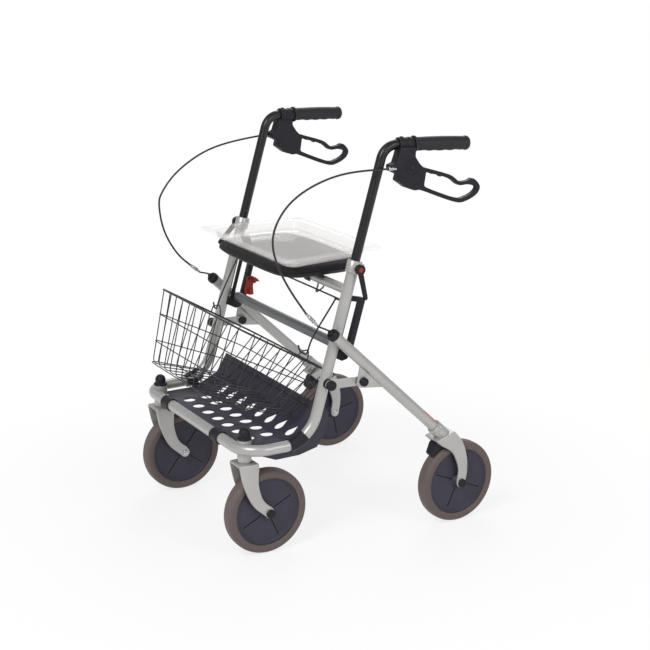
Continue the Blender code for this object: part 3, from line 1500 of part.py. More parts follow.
def tray():
    """Clear tray: thin floor and walls, and a wide flange round the top."""
    top = TRAY_FLOOR_Z + TRAY_DEPTH
    wide = TRAY_FLANGE
    wall = TRAY_WALL

    def loop(shrink, z, radius):
        points = rounded_quad(
            TRAY_FRONT_HALF - shrink, TRAY_REAR_HALF - shrink, TRAY_FRONT_Y + shrink, TRAY_REAR_Y - shrink, radius
        )
        return [(x, y, z) for x, y in points]

    levels = [
        loop(wide + 0.014, TRAY_FLOOR_Z, 0.020),
        loop(wide + 0.006, TRAY_FLOOR_Z + 0.004, 0.024),
        loop(wide + wall * 0.5, top - wall, 0.026),
        loop(0.0, top - wall, 0.012),
        loop(0.0, top, 0.012),
        loop(wide + wall * 1.5, top, 0.024),
        loop(wide + 0.006 + wall, TRAY_FLOOR_Z + 0.0055, 0.022),
        loop(wide + 0.014 + wall, TRAY_FLOOR_Z + wall, 0.018),
    ]
    bm = bmesh.new()
    rings = [[bm.verts.new(point) for point in level] for level in levels]
    for lower, upper in zip(rings, rings[1:]):
        for i in range(len(lower)):
            k = (i + 1) % len(lower)
            bm.faces.new((lower[i], lower[k], upper[k], upper[i]))
    bm.faces.new(rings[0])
    bm.faces.new(rings[-1])
    return finish(as_object(bm), "tray", "tray_clear")


# Basket and bail

HOOK_X = 0.150
BAIL_TOP_Y = -0.0630
BAIL_TOP_Z = 0.5775
BAIL_HALF_WIDTH = 0.2350
EYE_SHARE = 0.60


def basket_corner(level, depth_share):
    """Basket point (half width, y, z): level 0 is the rim, 1 the base; share 0 front, 1 rear."""
    rim_y = RIM_FRONT[0] + (RIM_REAR[0] - RIM_FRONT[0]) * depth_share
    rim_z = RIM_FRONT[1] + (RIM_REAR[1] - RIM_FRONT[1]) * depth_share
    base_y = BASE_FRONT[0] + (BASE_REAR[0] - BASE_FRONT[0]) * depth_share
    base_z = BASE_FRONT[1] + (BASE_REAR[1] - BASE_FRONT[1]) * depth_share
    half = RIM_HALF_WIDTH + (BASE_HALF_WIDTH - RIM_HALF_WIDTH) * level
    return half, rim_y + (base_y - rim_y) * level, rim_z + (base_z - rim_z) * level


def rounded_share(level, u, v):
    """Point of the basket at u across and v deep (-1 to 1), its corners rounded in plan."""
    exponent = 14.0
    reach = (abs(u) ** exponent + abs(v) ** exponent) ** (1 / exponent)
    scale = max(abs(u), abs(v)) / reach if reach > 1e-9 else 1.0
    half, y, z = basket_corner(level, (v * scale + 1) / 2)
    return Vector((u * scale * half, y, z))


def basket():
    """Wire basket: a lattice of wires in walls and base, a heavier rim, and an eye each side."""
    bm = bmesh.new()
    levels = (0.0, 0.336, 0.703, 1.0)
    found = {}

    def vertex(level, u, v):
        key = (round(level, 5), round(u, 5), round(v, 5))
        if key not in found:
            found[key] = bm.verts.new(rounded_share(level, u, v))
        return found[key]

    across = [2 * i / WIRES_ACROSS - 1 for i in range(WIRES_ACROSS + 1)]
    deep = [2 * j / WIRES_DEEP - 1 for j in range(WIRES_DEEP + 1)]
    loop = [(u, -1.0) for u in across] + [(1.0, v) for v in deep[1:]]
    loop += [(u, 1.0) for u in reversed(across[:-1])] + [(-1.0, v) for v in reversed(deep[1:-1])]
    for upper, lower in zip(levels, levels[1:]):
        for a, b in zip(loop, loop[1:] + loop[:1]):
            bm.faces.new((vertex(upper, *a), vertex(upper, *b), vertex(lower, *b), vertex(lower, *a)))
    for i in range(WIRES_ACROSS):
        for j in range(0, WIRES_DEEP, 2):
            left, right = across[i], across[i + 1]
            corners = [(left, deep[j]), (right, deep[j])]
            if i == WIRES_ACROSS - 1:
                corners.append((right, deep[j + 1]))
            corners += [(right, deep[j + 2]), (left, deep[j + 2])]
            if i == 0:
                corners.append((left, deep[j + 1]))
            bm.faces.new([vertex(1.0, u, v) for u, v in corners])
    lattice = as_object(bm)
    step = lattice.modifiers.new("wires", "WIREFRAME")
    step.thickness = 2 * WIRE_RADIUS
    step.use_boundary = True
    step.use_replace = True
    step.use_even_offset = True
    bpy.context.view_layer.update()
    graph = bpy.context.evaluated_depsgraph_get()
    mesh = bpy.data.meshes.new_from_object(lattice.evaluated_get(graph))
    drop(lattice)
    wires = bpy.data.objects.new("wires", mesh)
    bpy.context.scene.collection.objects.link(wires)
    rim = [rounded_share(0.0, u, v) for u, v in loop]
    joined(wires, swept(rim, WIRE_RADIUS * 1.7, 6, closed=True))
    for side in SIDES.values():
        foot = [rounded_share(0.0, side, 2 * (EYE_SHARE + shift) - 1) for shift in (-0.05, 0.05)]
        crown = (foot[0] + foot[1]) / 2 + Vector((side * 0.004, 0.004, 0.021))
        line = [foot[0] - 0.0005 * Z_AXIS, crown - Vector((0, 0.009, 0.001)), crown]
        line += [crown + Vector((0, 0.009, -0.003)), foot[1] - 0.0005 * Z_AXIS]
        joined(wires, swept(smooth_line(line, 3), WIRE_RADIUS * 1.2, 6))
    return finish(wires, "wire_basket", "wire_black", (0, BAIL_TOP_Y, BAIL_TOP_Z))


def bail():
    """Wire bail: it lies in the hooks under the seat and its ends hook the basket's eyes."""
    _, eye_y, eye_z = basket_corner(0.0, EYE_SHARE)
    eye = Vector((RIM_HALF_WIDTH + 0.004, eye_y + 0.004, eye_z + 0.021))
    corner = Vector((BAIL_HALF_WIDTH, BAIL_TOP_Y, BAIL_TOP_Z))
    down = (eye - corner).normalized()
    drop_in = eye + Vector((0.0, 0.0015, -0.0055))
    half = [
        eye + Vector((-0.008, -0.012, 0.012)),
        eye + Vector((-0.006, -0.009, -0.001)),
        drop_in + Vector((-0.001, -0.003, -0.0015)),
        drop_in + Vector((0.004, 0.002, 0.001)),
        corner + 0.100 * down,
        corner + 0.006 * down,
        corner - 0.004 * X_AXIS + 0.001 * down,
        corner - 0.010 * X_AXIS,
    ]
    line = half + [Vector((-p.x, p.y, p.z)) for p in reversed(half)]
    wire = swept(line, BAIL_RADIUS, 8)
    return finish(wire, "basket_bail", "wire_black", (0, BAIL_TOP_Y, BAIL_TOP_Z))


def main():
    """Clears the scene and builds every piece."""
    for obj in list(bpy.data.objects):
        bpy.data.objects.remove(obj)
    front_frame()
    seat_cross_tube()
    height_collar()
    clamp_lever("clamp_lever_left", 1, radians(13))
    clamp_lever("clamp_lever_right", -1, radians(-45))
    slot_guide("slot_guide_left", 1)
    slot_guide("slot_guide_right", -1)
    fold_latch()
    caster_cap()
    lower_shelf()
    caster_fork()
    wheels()
    rear_leg()
    leg_cap()
    rear_cross_tube()
    rear_fork()
    brake_shoe()
    fold_link()
    pivot_pins()
    handle_tube()
    grip()
    brake_housing()
    brake_lever()
    cables()
    seat()
    tray()
    basket()
    bail()


main()
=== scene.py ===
"""A folding four-wheeled walking frame, drawn piece by piece over its CAD frame.

Every piece is made in the CAD's own frame: metres, +Z up, the user walks towards -Y and
+X is the user's left. Each sub-assembly is a class that holds its sizes and dresses what
it builds, and each finish is a small frozen dataclass that makes one material.
"""

import logging
from collections.abc import Callable, Iterable, Sequence
from dataclasses import dataclass, field
from enum import Enum
from math import atan2, cos, exp, hypot, pi, radians, sin, tan
from typing import Any

import bmesh
import bpy
from mathutils import Matrix, Vector
from mathutils.geometry import interpolate_bezier


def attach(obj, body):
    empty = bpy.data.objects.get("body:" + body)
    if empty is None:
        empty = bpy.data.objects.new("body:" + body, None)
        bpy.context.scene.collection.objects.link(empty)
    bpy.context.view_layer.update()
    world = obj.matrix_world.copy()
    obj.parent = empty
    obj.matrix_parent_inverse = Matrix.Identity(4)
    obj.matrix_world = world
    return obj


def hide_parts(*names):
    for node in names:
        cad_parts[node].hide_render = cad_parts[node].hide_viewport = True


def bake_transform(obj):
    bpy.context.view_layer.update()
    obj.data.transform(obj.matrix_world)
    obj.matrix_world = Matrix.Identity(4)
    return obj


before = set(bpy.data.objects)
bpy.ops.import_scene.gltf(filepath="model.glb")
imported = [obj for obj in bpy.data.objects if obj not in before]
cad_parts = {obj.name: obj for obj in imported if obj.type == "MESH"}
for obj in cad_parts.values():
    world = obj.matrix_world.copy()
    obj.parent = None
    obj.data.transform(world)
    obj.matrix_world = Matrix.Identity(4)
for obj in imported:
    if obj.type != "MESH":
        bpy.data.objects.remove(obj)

LOG = logging.getLogger("walking_frame")
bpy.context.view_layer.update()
X_AXIS = Vector((1.0, 0.0, 0.0))
Y_AXIS = Vector((0.0, 1.0, 0.0))
Z_AXIS = Vector((0.0, 0.0, 1.0))
# Gap between pieces that fit one into the other, in metres.
FIT_GAP = 0.0003
TRAY_FLOOR_Z = 0.6433
TRAY_DEPTH = 0.024
Outline = list[tuple[float, float]]
Shape = bpy.types.Object
Tree = bpy.types.NodeTree
Node = bpy.types.Node
Socket = bpy.types.NodeSocket


class Side(Enum):
    """The user's two sides, each with the sign of its X."""

    LEFT = 1
    RIGHT = -1

    @property
    def label(self) -> str:
        """The side's name as it ends a piece's name."""
        return self.name.lower()


# Finishes


def linear(hex_colour: str) -> tuple[float, float, float, float]:
    """Turns an sRGB hex colour to linear.

    Args:
        hex_colour: Six hex digits.

    Returns:
        Linear red, green, blue and an alpha of one.
    """
    channels = [int(hex_colour[i : i + 2], 16) / 255 for i in (0, 2, 4)]
    low = [c / 12.92 if c <= 0.04045 else ((c + 0.055) / 1.055) ** 2.4 for c in channels]
    return (low[0], low[1], low[2], 1.0)


def per_metre(millimetres: float) -> float:
    """Scale of a noise whose features measure that many millimetres."""
    return 1000.0 / millimetres


def feed(tree: Tree, node: Node, inputs: dict[Any, Any]) -> Node:
    """Sets or links a node's inputs.

    Args:
        tree: The node tree.
        node: The node to feed.
        inputs: Socket name or index to a value, an output socket, or a node for its first output.

    Returns:
        The node.
    """
    for name, value in inputs.items():
        source = value.outputs[0] if isinstance(value, Node) else value
        if isinstance(source, Socket):
            tree.links.new(source, node.inputs[name])
        else:
            node.inputs[name].default_value = source
    return node


def add_node(tree: Tree, kind: str, inputs: dict[Any, Any] | None = None, **settings: Any) -> Node:
    """Adds one node with its settings, values and links.

    Args:
        tree: The node tree to add to.
        kind: The node's type name.
        inputs: What feeds its sockets, as in feed.
        **settings: Attributes of the node itself.

    Returns:
        The new node.
    """
    made = tree.nodes.new(kind)
    for name, value in settings.items():
        setattr(made, name, value)
    return feed(tree, made, inputs or {})


@dataclass(frozen=True)
class Surface:
    """What every finish shares: a name, two close colours and the shader's plain values."""

    name: str
    colour: str
    shade: str
    roughness: float
    metallic: float = 0.0
    cloud_mm: float = 55.0

    def material(self) -> bpy.types.Material:
        """Makes the material, or returns it if it is there already.

        Returns:
            The finish's material.
        """
        found = bpy.data.materials.get(self.name)
        if found:
            return found
        made = bpy.data.materials.new(self.name)
        made.use_nodes = True
        tree = made.node_tree
        shader = tree.nodes["Principled BSDF"]
        place = add_node(tree, "ShaderNodeTexCoord").outputs["Object"]
        values = {"Vector": place, "Scale": per_metre(self.cloud_mm), "Detail": 3.0}
        cloud = add_node(tree, "ShaderNodeTexNoise", values)
        shades = {0: cloud, 6: linear(self.colour), 7: linear(self.shade)}
        mix = add_node(tree, "ShaderNodeMix", shades, data_type="RGBA")
        look = {"Metallic": self.metallic, "Roughness": self.roughness}
        feed(tree, shader, look | {"Base Color": self.tint(tree, place, mix.outputs[2])})
        self.texture(tree, place, shader)
        return made

    def tint(self, tree: Tree, place: Socket, colour: Socket) -> Socket:
        """Adds what a finish lays over its plain colour; here nothing.

        Args:
            tree: The material's nodes.
            place: Object coordinates.
            colour: The plain colour so far.

        Returns:
            The colour to use.
        """
        return colour

    def texture(self, tree: Tree, place: Socket, shader: Node) -> None:
        """Adds relief and gloss variation; here nothing."""

    def relief(self, tree: Tree, shader: Node, height: Any, depth_mm: float, strength: float) -> None:
        """Feeds a height to the shader's normal.

        Args:
            tree: The material's nodes.
            shader: The shader that takes the normal.
            height: The socket or node that gives the height from 0 to 1.
            depth_mm: Depth of the relief in millimetres.
            strength: Share of it that shows.
        """
        values = {"Height": height, "Distance": depth_mm / 1000, "Strength": strength}
        feed(tree, shader, {"Normal": add_node(tree, "ShaderNodeBump", values)})

    def gloss(self, tree: Tree, shader: Node, driver: Any, spread: float) -> None:
        """Varies the roughness about its plain value by a noise from 0 to 1."""
        values = {"Value": driver, "To Min": self.roughness - spread, "To Max": self.roughness + spread}
        feed(tree, shader, {"Roughness": add_node(tree, "ShaderNodeMapRange", values)})


@dataclass(frozen=True)
class PowderCoat(Surface):
    """Polyester powder baked on steel: satin, with a faint orange peel and metal flake."""

    peel_mm: float = 1.6
    flake: float = 0.1

    def tint(self, tree: Tree, place: Socket, colour: Socket) -> Socket:
        """Lays the flake's light specks over the colour."""
        # The real flake is 0.05 mm; it is drawn at 0.7 mm so that it shows.
        fleck = add_node(
            tree, "ShaderNodeTexNoise", {"Vector": place, "Scale": per_metre(0.7), "Detail": 1.0}
        )
        values = {"Value": fleck, "From Min": 0.45, "From Max": 0.75, "To Max": self.flake}
        amount = add_node(tree, "ShaderNodeMapRange", values)
        shades = {0: amount, 6: colour, 7: (1.0, 1.0, 0.98, 1.0)}
        return add_node(tree, "ShaderNodeMix", shades, data_type="RGBA").outputs[2]

    def texture(self, tree: Tree, place: Socket, shader: Node) -> None:
        """Adds the orange peel."""
        peel = add_node(
            tree, "ShaderNodeTexNoise", {"Vector": place, "Scale": per_metre(self.peel_mm), "Detail": 2.0}
        )
        self.relief(tree, shader, peel, 0.018, 0.35)
        self.gloss(tree, shader, peel, 0.06)


@dataclass(frozen=True)
class Moulded(Surface):
    """Injection-moulded polypropylene or nylon: a spark-eroded grain that scatters the light."""

    grain_mm: float = 0.9
    grain_depth_mm: float = 0.06

    def texture(self, tree: Tree, place: Socket, shader: Node) -> None:
        """Adds the grain and rubbed, glossier patches."""
        grain = add_node(
            tree, "ShaderNodeTexNoise",
            {"Vector": place, "Scale": per_metre(self.grain_mm), "Detail": 4.0, "Roughness": 0.6},
        )
        rubbed = add_node(
            tree, "ShaderNodeTexNoise", {"Vector": place, "Scale": per_metre(30), "Detail": 2.0}
        )
        self.relief(tree, shader, grain, self.grain_depth_mm, 0.5)
        self.gloss(tree, shader, rubbed, 0.09)
        feed(tree, shader, {"IOR": 1.49, "Specular IOR Level": 0.3})


@dataclass(frozen=True)
class WheelRubber(Surface):
    """Thermoplastic rubber tyre: warm grey, dustier on the tread and browner on the walls."""

    wall: str = "7C6A66"

    def tint(self, tree: Tree, place: Socket, colour: Socket) -> Socket:
        """Turns the colour to the wall's where the surface faces sideways."""
        normal = add_node(tree, "ShaderNodeTexCoord").outputs["Normal"]
        split = add_node(tree, "ShaderNodeSeparateXYZ", {0: normal})
        size = add_node(tree, "ShaderNodeMath", {0: split}, operation="ABSOLUTE")
        values = {"Value": size, "From Min": 0.25, "From Max": 0.9, "To Max": 0.75}
        share = add_node(tree, "ShaderNodeMapRange", values)
        shades = {0: share, 6: colour, 7: linear(self.wall)}
        return add_node(tree, "ShaderNodeMix", shades, data_type="RGBA").outputs[2]

    def texture(self, tree: Tree, place: Socket, shader: Node) -> None:
        """Adds a fine skin and scuffs that run round the wheel."""
        skin = add_node(
            tree, "ShaderNodeTexNoise", {"Vector": place, "Scale": per_metre(1.5), "Detail": 5.0}
        )
        # Squeezed across the tread, so that the scuffs run round the tyre.
        narrow = add_node(tree, "ShaderNodeMapping", {"Vector": place, "Scale": (6.0, 1.0, 1.0)})
        scuff = add_node(
            tree, "ShaderNodeTexNoise", {"Vector": narrow.outputs[0], "Scale": per_metre(14), "Detail": 4.0}
        )
        self.relief(tree, shader, skin, 0.12, 0.4)
        self.gloss(tree, shader, scuff, 0.14)


@dataclass(frozen=True)
class GripRubber(Surface):
    """Soft-touch grip rubber: matte, with a fine ring texture round the hand."""

    ring_mm: float = 2.4

    def texture(self, tree: Tree, place: Socket, shader: Node) -> None:
        """Adds the rings along the grip, broken by a noise."""
        # A wave node's bands are 20 / (2 pi) times closer than its scale says.
        values = {
            "Vector": place, "Scale": per_metre(self.ring_mm) * 2 * pi / 20, "Distortion": 1.2,
            "Detail": 2.0,
        }
        wave = add_node(tree, "ShaderNodeTexWave", values, wave_type="BANDS", bands_direction="Y")
        ring = wave.outputs["Fac"]
        self.relief(tree, shader, ring, 0.18, 0.35)
        self.gloss(tree, shader, ring, 0.05)


@dataclass(frozen=True)
class Plated(Surface):
    """Zinc-plated steel: bright, with a soft cloudy crystal in the plating."""

    def texture(self, tree: Tree, place: Socket, shader: Node) -> None:
        """Adds the crystal to the gloss and a trace of turning marks."""
        cloud = add_node(tree, "ShaderNodeTexVoronoi", {"Vector": place, "Scale": per_metre(1.8)})
        self.gloss(tree, shader, cloud, 0.08)
        self.relief(tree, shader, cloud, 0.02, 0.3)


@dataclass(frozen=True)
class Anodised(Surface):
    """Extruded and anodised aluminium: a silky drawn grain along the bar."""

    def texture(self, tree: Tree, place: Socket, shader: Node) -> None:
        """Adds the drawn lines along X."""
        # Die lines are about 0.3 mm apart; they are drawn at 0.8 mm so that they show.
        drawn = add_node(tree, "ShaderNodeMapping", {"Vector": place, "Scale": (0.02, 1.0, 1.0)})
        lines = add_node(
            tree, "ShaderNodeTexNoise", {"Vector": drawn.outputs[0], "Scale": per_metre(0.8), "Detail": 3.0}
        )
        self.relief(tree, shader, lines, 0.03, 0.5)
        self.gloss(tree, shader, lines, 0.1)


@dataclass(frozen=True)
class FoamSkin(Surface):
    """Self-skinned polyurethane foam: black, leathery pebbles with soft valleys."""

    pebble_mm: float = 2.0

    def texture(self, tree: Tree, place: Socket, shader: Node) -> None:
        """Adds the pebble grain and a faint sheen."""
        values = {"Vector": place, "Scale": per_metre(self.pebble_mm)}
        pebble = add_node(tree, "ShaderNodeTexVoronoi", values, feature="SMOOTH_F1")
        self.relief(tree, shader, pebble, 0.25, 0.45)
        self.gloss(tree, shader, pebble, 0.1)
        feed(tree, shader, {"Sheen Weight": 0.03, "Specular IOR Level": 0.3})


@dataclass(frozen=True)
class ClearSheet(Surface):
    """Vacuum-formed clear styrene: glassy, faintly warm where it is seen through its edge."""

    floor_z: float = TRAY_FLOOR_Z
    top_z: float = TRAY_FLOOR_Z + TRAY_DEPTH

    def texture(self, tree: Tree, place: Socket, shader: Node) -> None:
        """Thins the sheet's opacity out from its floor to the flange, with the slow waves of a formed
        sheet; the floor's milky white is partly the sheet's haze and partly painted reflection.
        """
        height = add_node(tree, "ShaderNodeSeparateXYZ", {0: place}).outputs["Z"]
        # Painted reflection: the floor is the most opaque white so that it reads pale over the black seat,
        # as the studio's reflection makes it look, and partly it is the sheet's own haze; the flange is the
        # clearest.
        floor, top = self.floor_z, self.top_z
        walls = {
            "Value": height, "From Min": floor + 0.003, "From Max": floor + 0.008, "To Min": 0.42,
            "To Max": 0.18,
        }
        rim = {
            "Value": height, "From Min": top - 0.0046, "From Max": top - 0.0026, "To Min": 1.0,
            "To Max": 0.8,
        }
        shares = {i: add_node(tree, "ShaderNodeMapRange", values) for i, values in enumerate((walls, rim))}
        # Opacity by height: partly the sheet's haze, partly painted reflection where the floor is made
        # milkiest.
        haze_and_painted_reflection = add_node(tree, "ShaderNodeMath", shares, operation="MULTIPLY")
        feed(tree, shader, {"Alpha": haze_and_painted_reflection, "IOR": 1.49})
        warp = add_node(
            tree, "ShaderNodeTexNoise", {"Vector": place, "Scale": per_metre(45), "Detail": 1.0}
        )
        self.relief(tree, shader, warp, 0.5, 0.25)


@dataclass(frozen=True)
class Sheath(Surface):
    """Extruded PVC cable sheath: smooth satin with the lay of the wire just showing through."""

    def texture(self, tree: Tree, place: Socket, shader: Node) -> None:
        """Adds the faint ripple of the wound liner."""
        ripple = add_node(
            tree, "ShaderNodeTexNoise", {"Vector": place, "Scale": per_metre(2.2), "Detail": 1.0}
        )
        self.relief(tree, shader, ripple, 0.05, 0.3)


class Finish(Enum):
    """The walking frame's finishes."""

    FRAME_PAINT = PowderCoat("silver_beige_powder_coat", "BBBAB7", "AAA9A7", 0.36, 0.45)
    CROSS_TUBE = Anodised("grey_anodised_extrusion", "87888B", "77787C", 0.38, 0.6)
    HANDLE_BLACK = PowderCoat("black_powder_coat", "08080B", "0D0C10", 0.36, 0.0, flake=0.004)
    BLACK_PLASTIC = Moulded("black_glass_filled_nylon", "18171E", "201E27", 0.5)
    GRIP = GripRubber("soft_touch_grip_rubber", "1C1A21", "17151B", 0.6)
    CABLE = Sheath("black_cable_sheath", "121215", "1A1A1D", 0.4)
    STEEL = Plated("zinc_plated_steel", "C6C9CC", "AEB1B4", 0.24, 1.0)
    HOOK_STEEL = Plated("bright_drawn_wire", "7F8184", "6C6E72", 0.34, 1.0)
    TYRE = WheelRubber("warm_grey_tyre_rubber", "6D615E", "5F5452", 0.62, wall="5C504E")
    HUB = Moulded("slate_polypropylene_hub", "35333F", "3E3C49", 0.46, grain_mm=1.4)
    SHELF = Moulded("slate_polypropylene_shelf", "34323F", "3E3C4A", 0.48, grain_mm=1.6, grain_depth_mm=0.1)
    SEAT = FoamSkin("black_foam_skin", "0E0D12", "15141A", 0.58)
    TRAY = ClearSheet("clear_styrene_sheet", "F6F4F3", "EFEBE9", 0.06, cloud_mm=120.0)
    WIRE = PowderCoat("black_coated_wire", "1C1B20", "242328", 0.38, 0.0, peel_mm=1.0, flake=0.008)
    RED = Moulded("red_nylon", "A93828", "8E2A20", 0.4)
    RED_FILM = Moulded("plain_red_film", "D9705F", "CE5D4B", 0.35)


# Mesh tools


def linked(name: str, data: bpy.types.ID) -> Shape:
    """Puts new data into the scene, as an object at the origin."""
    made = bpy.data.objects.new(name, data)
    bpy.context.scene.collection.objects.link(made)
    return made


def as_object(bm: bmesh.types.BMesh, name: str) -> Shape:
    """Turns a bmesh into a linked object, as it is."""
    mesh = bpy.data.meshes.new(name)
    bm.to_mesh(mesh)
    bm.free()
    return linked(name, mesh)


def mesh_object(bm: bmesh.types.BMesh, name: str = "shape") -> Shape:
    """Links a new object that holds the bmesh, its doubles merged and its faces outwards."""
    bmesh.ops.remove_doubles(bm, verts=bm.verts, dist=1e-7)
    bmesh.ops.recalc_face_normals(bm, faces=bm.faces)
    return as_object(bm, name)


def lathe(
    profile: Sequence[tuple[float, float]], origin: Sequence[float], axis: Vector, segments: int = 48
) -> Shape:
    """Turns a profile about an axis.

    Args:
        profile: Pairs of radius and distance along the axis.
        origin: Point that the distances start from.
        axis: Direction of the axis.
        segments: Number of flats round it.

    Returns:
        A closed solid of revolution.
    """
    bm = bmesh.new()
    points = [bm.verts.new((radius, 0.0, along)) for radius, along in profile]
    edges = [bm.edges.new(pair) for pair in zip(points, points[1:])]
    if profile[0][0] > 0:
        edges.append(bm.edges.new((points[-1], points[0])))
    bmesh.ops.spin(bm, geom=points + edges, cent=(0, 0, 0), axis=(0, 0, 1), angle=2 * pi, steps=segments)
    bmesh.ops.remove_doubles(bm, verts=bm.verts, dist=1e-6)
    bmesh.ops.dissolve_degenerate(bm, edges=bm.edges, dist=1e-6)
    turn = Matrix.Translation(Vector(origin)) @ Vector(axis).to_track_quat("Z", "X").to_matrix().to_4x4()
    bmesh.ops.transform(bm, matrix=turn, verts=bm.verts)
    return mesh_object(bm)


def oblong(first_y: float, last_y: float, low_z: float, high_z: float) -> Outline:
    """The four (y, z) corners of an upright rectangle."""
    return [(first_y, low_z), (last_y, low_z), (last_y, high_z), (first_y, high_z)]


def rod(start: Sequence[float], end: Sequence[float], radius: float, segments: int = 32) -> Shape:
    """Plain round bar between two points."""
    origin = Vector(start)
    axis = Vector(end) - origin
    return lathe([(0, 0), (radius, 0), (radius, axis.length), (0, axis.length)], origin, axis, segments)


def plate(outline: Outline, x: float, thickness: float) -> Shape:
    """Extrudes an outline of (y, z) pairs along X, centred at x."""
    bm = bmesh.new()
    face = bm.faces.new([bm.verts.new((x - thickness / 2, y, z)) for y, z in outline])
    grown = bmesh.ops.extrude_face_region(bm, geom=[face])["geom"]
    far = [item for item in grown if isinstance(item, bmesh.types.BMVert)]
    bmesh.ops.translate(bm, vec=(thickness, 0, 0), verts=far)
    return mesh_object(bm)


def sweep(points: Sequence[Vector], radius: float, sides: int = 28, closed: bool = False) -> Shape:
    """Sweeps a round bar along a line of points, with filled ends."""
    curve = bpy.data.curves.new("bar", "CURVE")
    curve.dimensions = "3D"
    curve.bevel_depth = radius
    curve.bevel_resolution = (sides - 4) // 2
    curve.use_fill_caps = True
    spline = curve.splines.new("POLY")
    spline.points.add(len(points) - 1)
    for point, place in zip(spline.points, points):
        point.co = (*place, 1.0)
    spline.use_cyclic_u = closed
    guide = linked("bar", curve)
    mesh = bpy.data.meshes.new_from_object(guide.evaluated_get(bpy.context.evaluated_depsgraph_get()))
    bm = bmesh.new()
    bm.from_mesh(mesh)
    bmesh.ops.remove_doubles(bm, verts=bm.verts, dist=1e-6)
    bpy.data.objects.remove(guide)
    bpy.data.meshes.remove(mesh)
    return mesh_object(bm)


def plain(obj: Shape) -> Shape:
    """Turns what an object's modifiers make into its plain mesh."""
    bpy.context.view_layer.update()
    mesh = bpy.data.meshes.new_from_object(obj.evaluated_get(bpy.context.evaluated_depsgraph_get()))
    obj.modifiers.clear()
    old, obj.data = obj.data, mesh
    bpy.data.meshes.remove(old)
    return obj


def combine(target: Shape, others: Iterable[Shape], operation: str) -> Shape:
    """Applies one exact Boolean for each other object, and removes it.

    Args:
        target: The object to change.
        others: What is joined to it or cut from it.
        operation: UNION or DIFFERENCE.

    Returns:
        The target.
    """
    for other in others:
        step = target.modifiers.new(operation, "BOOLEAN")
        step.operation, step.solver, step.object = operation, "EXACT", other
        plain(target)
        mesh = other.data
        bpy.data.objects.remove(other)
        bpy.data.meshes.remove(mesh)
        bm = bmesh.new()
        bm.from_mesh(target.data)
        bmesh.ops.remove_doubles(bm, verts=bm.verts, dist=2e-6)
        bmesh.ops.dissolve_degenerate(bm, edges=bm.edges, dist=2e-6)
        bm.to_mesh(target.data)
        bm.free()
    return target


def joined(target: Shape, *others: Shape) -> Shape:
    """Union of the objects."""
    return combine(target, others, "UNION")


def cut(target: Shape, *others: Shape) -> Shape:
    """The target less the other objects."""
    return combine(target, others, "DIFFERENCE")


def rounded(obj: Shape, width: float, segments: int = 2, angle: float = 32.0) -> Shape:
    """Rounds the edges that are sharper than the angle, in degrees."""
    step = obj.modifiers.new("edges", "BEVEL")
    step.width, step.segments, step.limit_method = width, segments, "ANGLE"
    step.angle_limit = radians(angle)
    step.use_clamp_overlap = True
    return plain(obj)


def refined(node: str, width: float = 0.0006, angle: float = 32.0) -> Shape:
    """Copies a CAD node's shape, merges its loose triangles and rounds its sharp edges.

    Args:
        node: The CAD node's name.
        width: Width of the rounding in metres.
        angle: Edges sharper than this many degrees are rounded.

    Returns:
        The new object.
    """
    bm = bmesh.new()
    bm.from_mesh(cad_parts[node].data)
    bmesh.ops.remove_doubles(bm, verts=bm.verts, dist=1e-6)
    bmesh.ops.dissolve_limit(bm, angle_limit=radians(0.6), verts=bm.verts, edges=bm.edges)
    return rounded(as_object(bm, "copy"), width, 2, angle)


def mirror_mesh(obj: Shape) -> Shape:
    """Turns an object into its own mirror image across the YZ plane."""
    obj.data.transform(Matrix.Diagonal((-1, 1, 1, 1)))
    obj.data.flip_normals()
    return obj


def arc(centre: tuple[float, float], radius: float, start: float, end: float, steps: int) -> Outline:
    """Points (y, z) of an arc, angles in radians from +Y towards +Z."""
    angles = [start + (end - start) * i / steps for i in range(steps + 1)]
    return [(centre[0] + radius * cos(a), centre[1] + radius * sin(a)) for a in angles]


def through(points: Sequence[Sequence[float]], steps: int) -> list[Vector]:
    """Points of a Catmull-Rom curve through the given points."""
    ends = [Vector((*p, 0.0)) if len(p) == 2 else Vector(p) for p in points]
    ends = [ends[0], *ends, ends[-1]]
    line: list[Vector] = []
    for before, start, end, after in zip(ends, ends[1:], ends[2:], ends[3:]):
        lead, trail = start + (end - before) / 6, end - (after - start) / 6
        line.extend(interpolate_bezier(start, lead, trail, end, steps + 1)[:-1])
    return [*line, ends[-1]]


def flat_through(points: Sequence[Sequence[float]], steps: int) -> Outline:
    """Smooth (y, z) outline through (y, z) points."""
    return [(p.x, p.y) for p in through(points, steps)]


def shifted(outline: Outline, origin: Vector) -> Outline:
    """The (y, z) outline moved by the origin's own y and z."""
    return [(origin.y + y, origin.z + z) for y, z in outline]


# Geometry Nodes


def new_tree(name: str, inputs: dict[str, str]) -> tuple[Tree, Node, dict[str, str]]:
    """Starts a Geometry Nodes tree with named inputs.

    Args:
        name: The tree's name.
        inputs: Input name to socket type.

    Returns:
        The tree, its input node, and each input's identifier by name.
    """
    tree = bpy.data.node_groups.new(name, "GeometryNodeTree")
    tree.interface.new_socket("Geometry", in_out="INPUT", socket_type="NodeSocketGeometry")
    named = {
        label: tree.interface.new_socket(label, in_out="INPUT", socket_type=kind).identifier
        for label, kind in inputs.items()
    }
    tree.interface.new_socket("Geometry", in_out="OUTPUT", socket_type="NodeSocketGeometry")
    return tree, tree.nodes.new("NodeGroupInput"), named


def end_tree(tree: Tree, geometry: Socket, finish: Socket) -> None:
    """Ends a tree in Realize Instances and Set Material."""
    real = add_node(tree, "GeometryNodeRealizeInstances", {"Geometry": geometry})
    dressed = add_node(tree, "GeometryNodeSetMaterial", {"Geometry": real, "Material": finish})
    output = tree.nodes.new("NodeGroupOutput")
    tree.links.new(dressed.outputs[0], output.inputs[0])


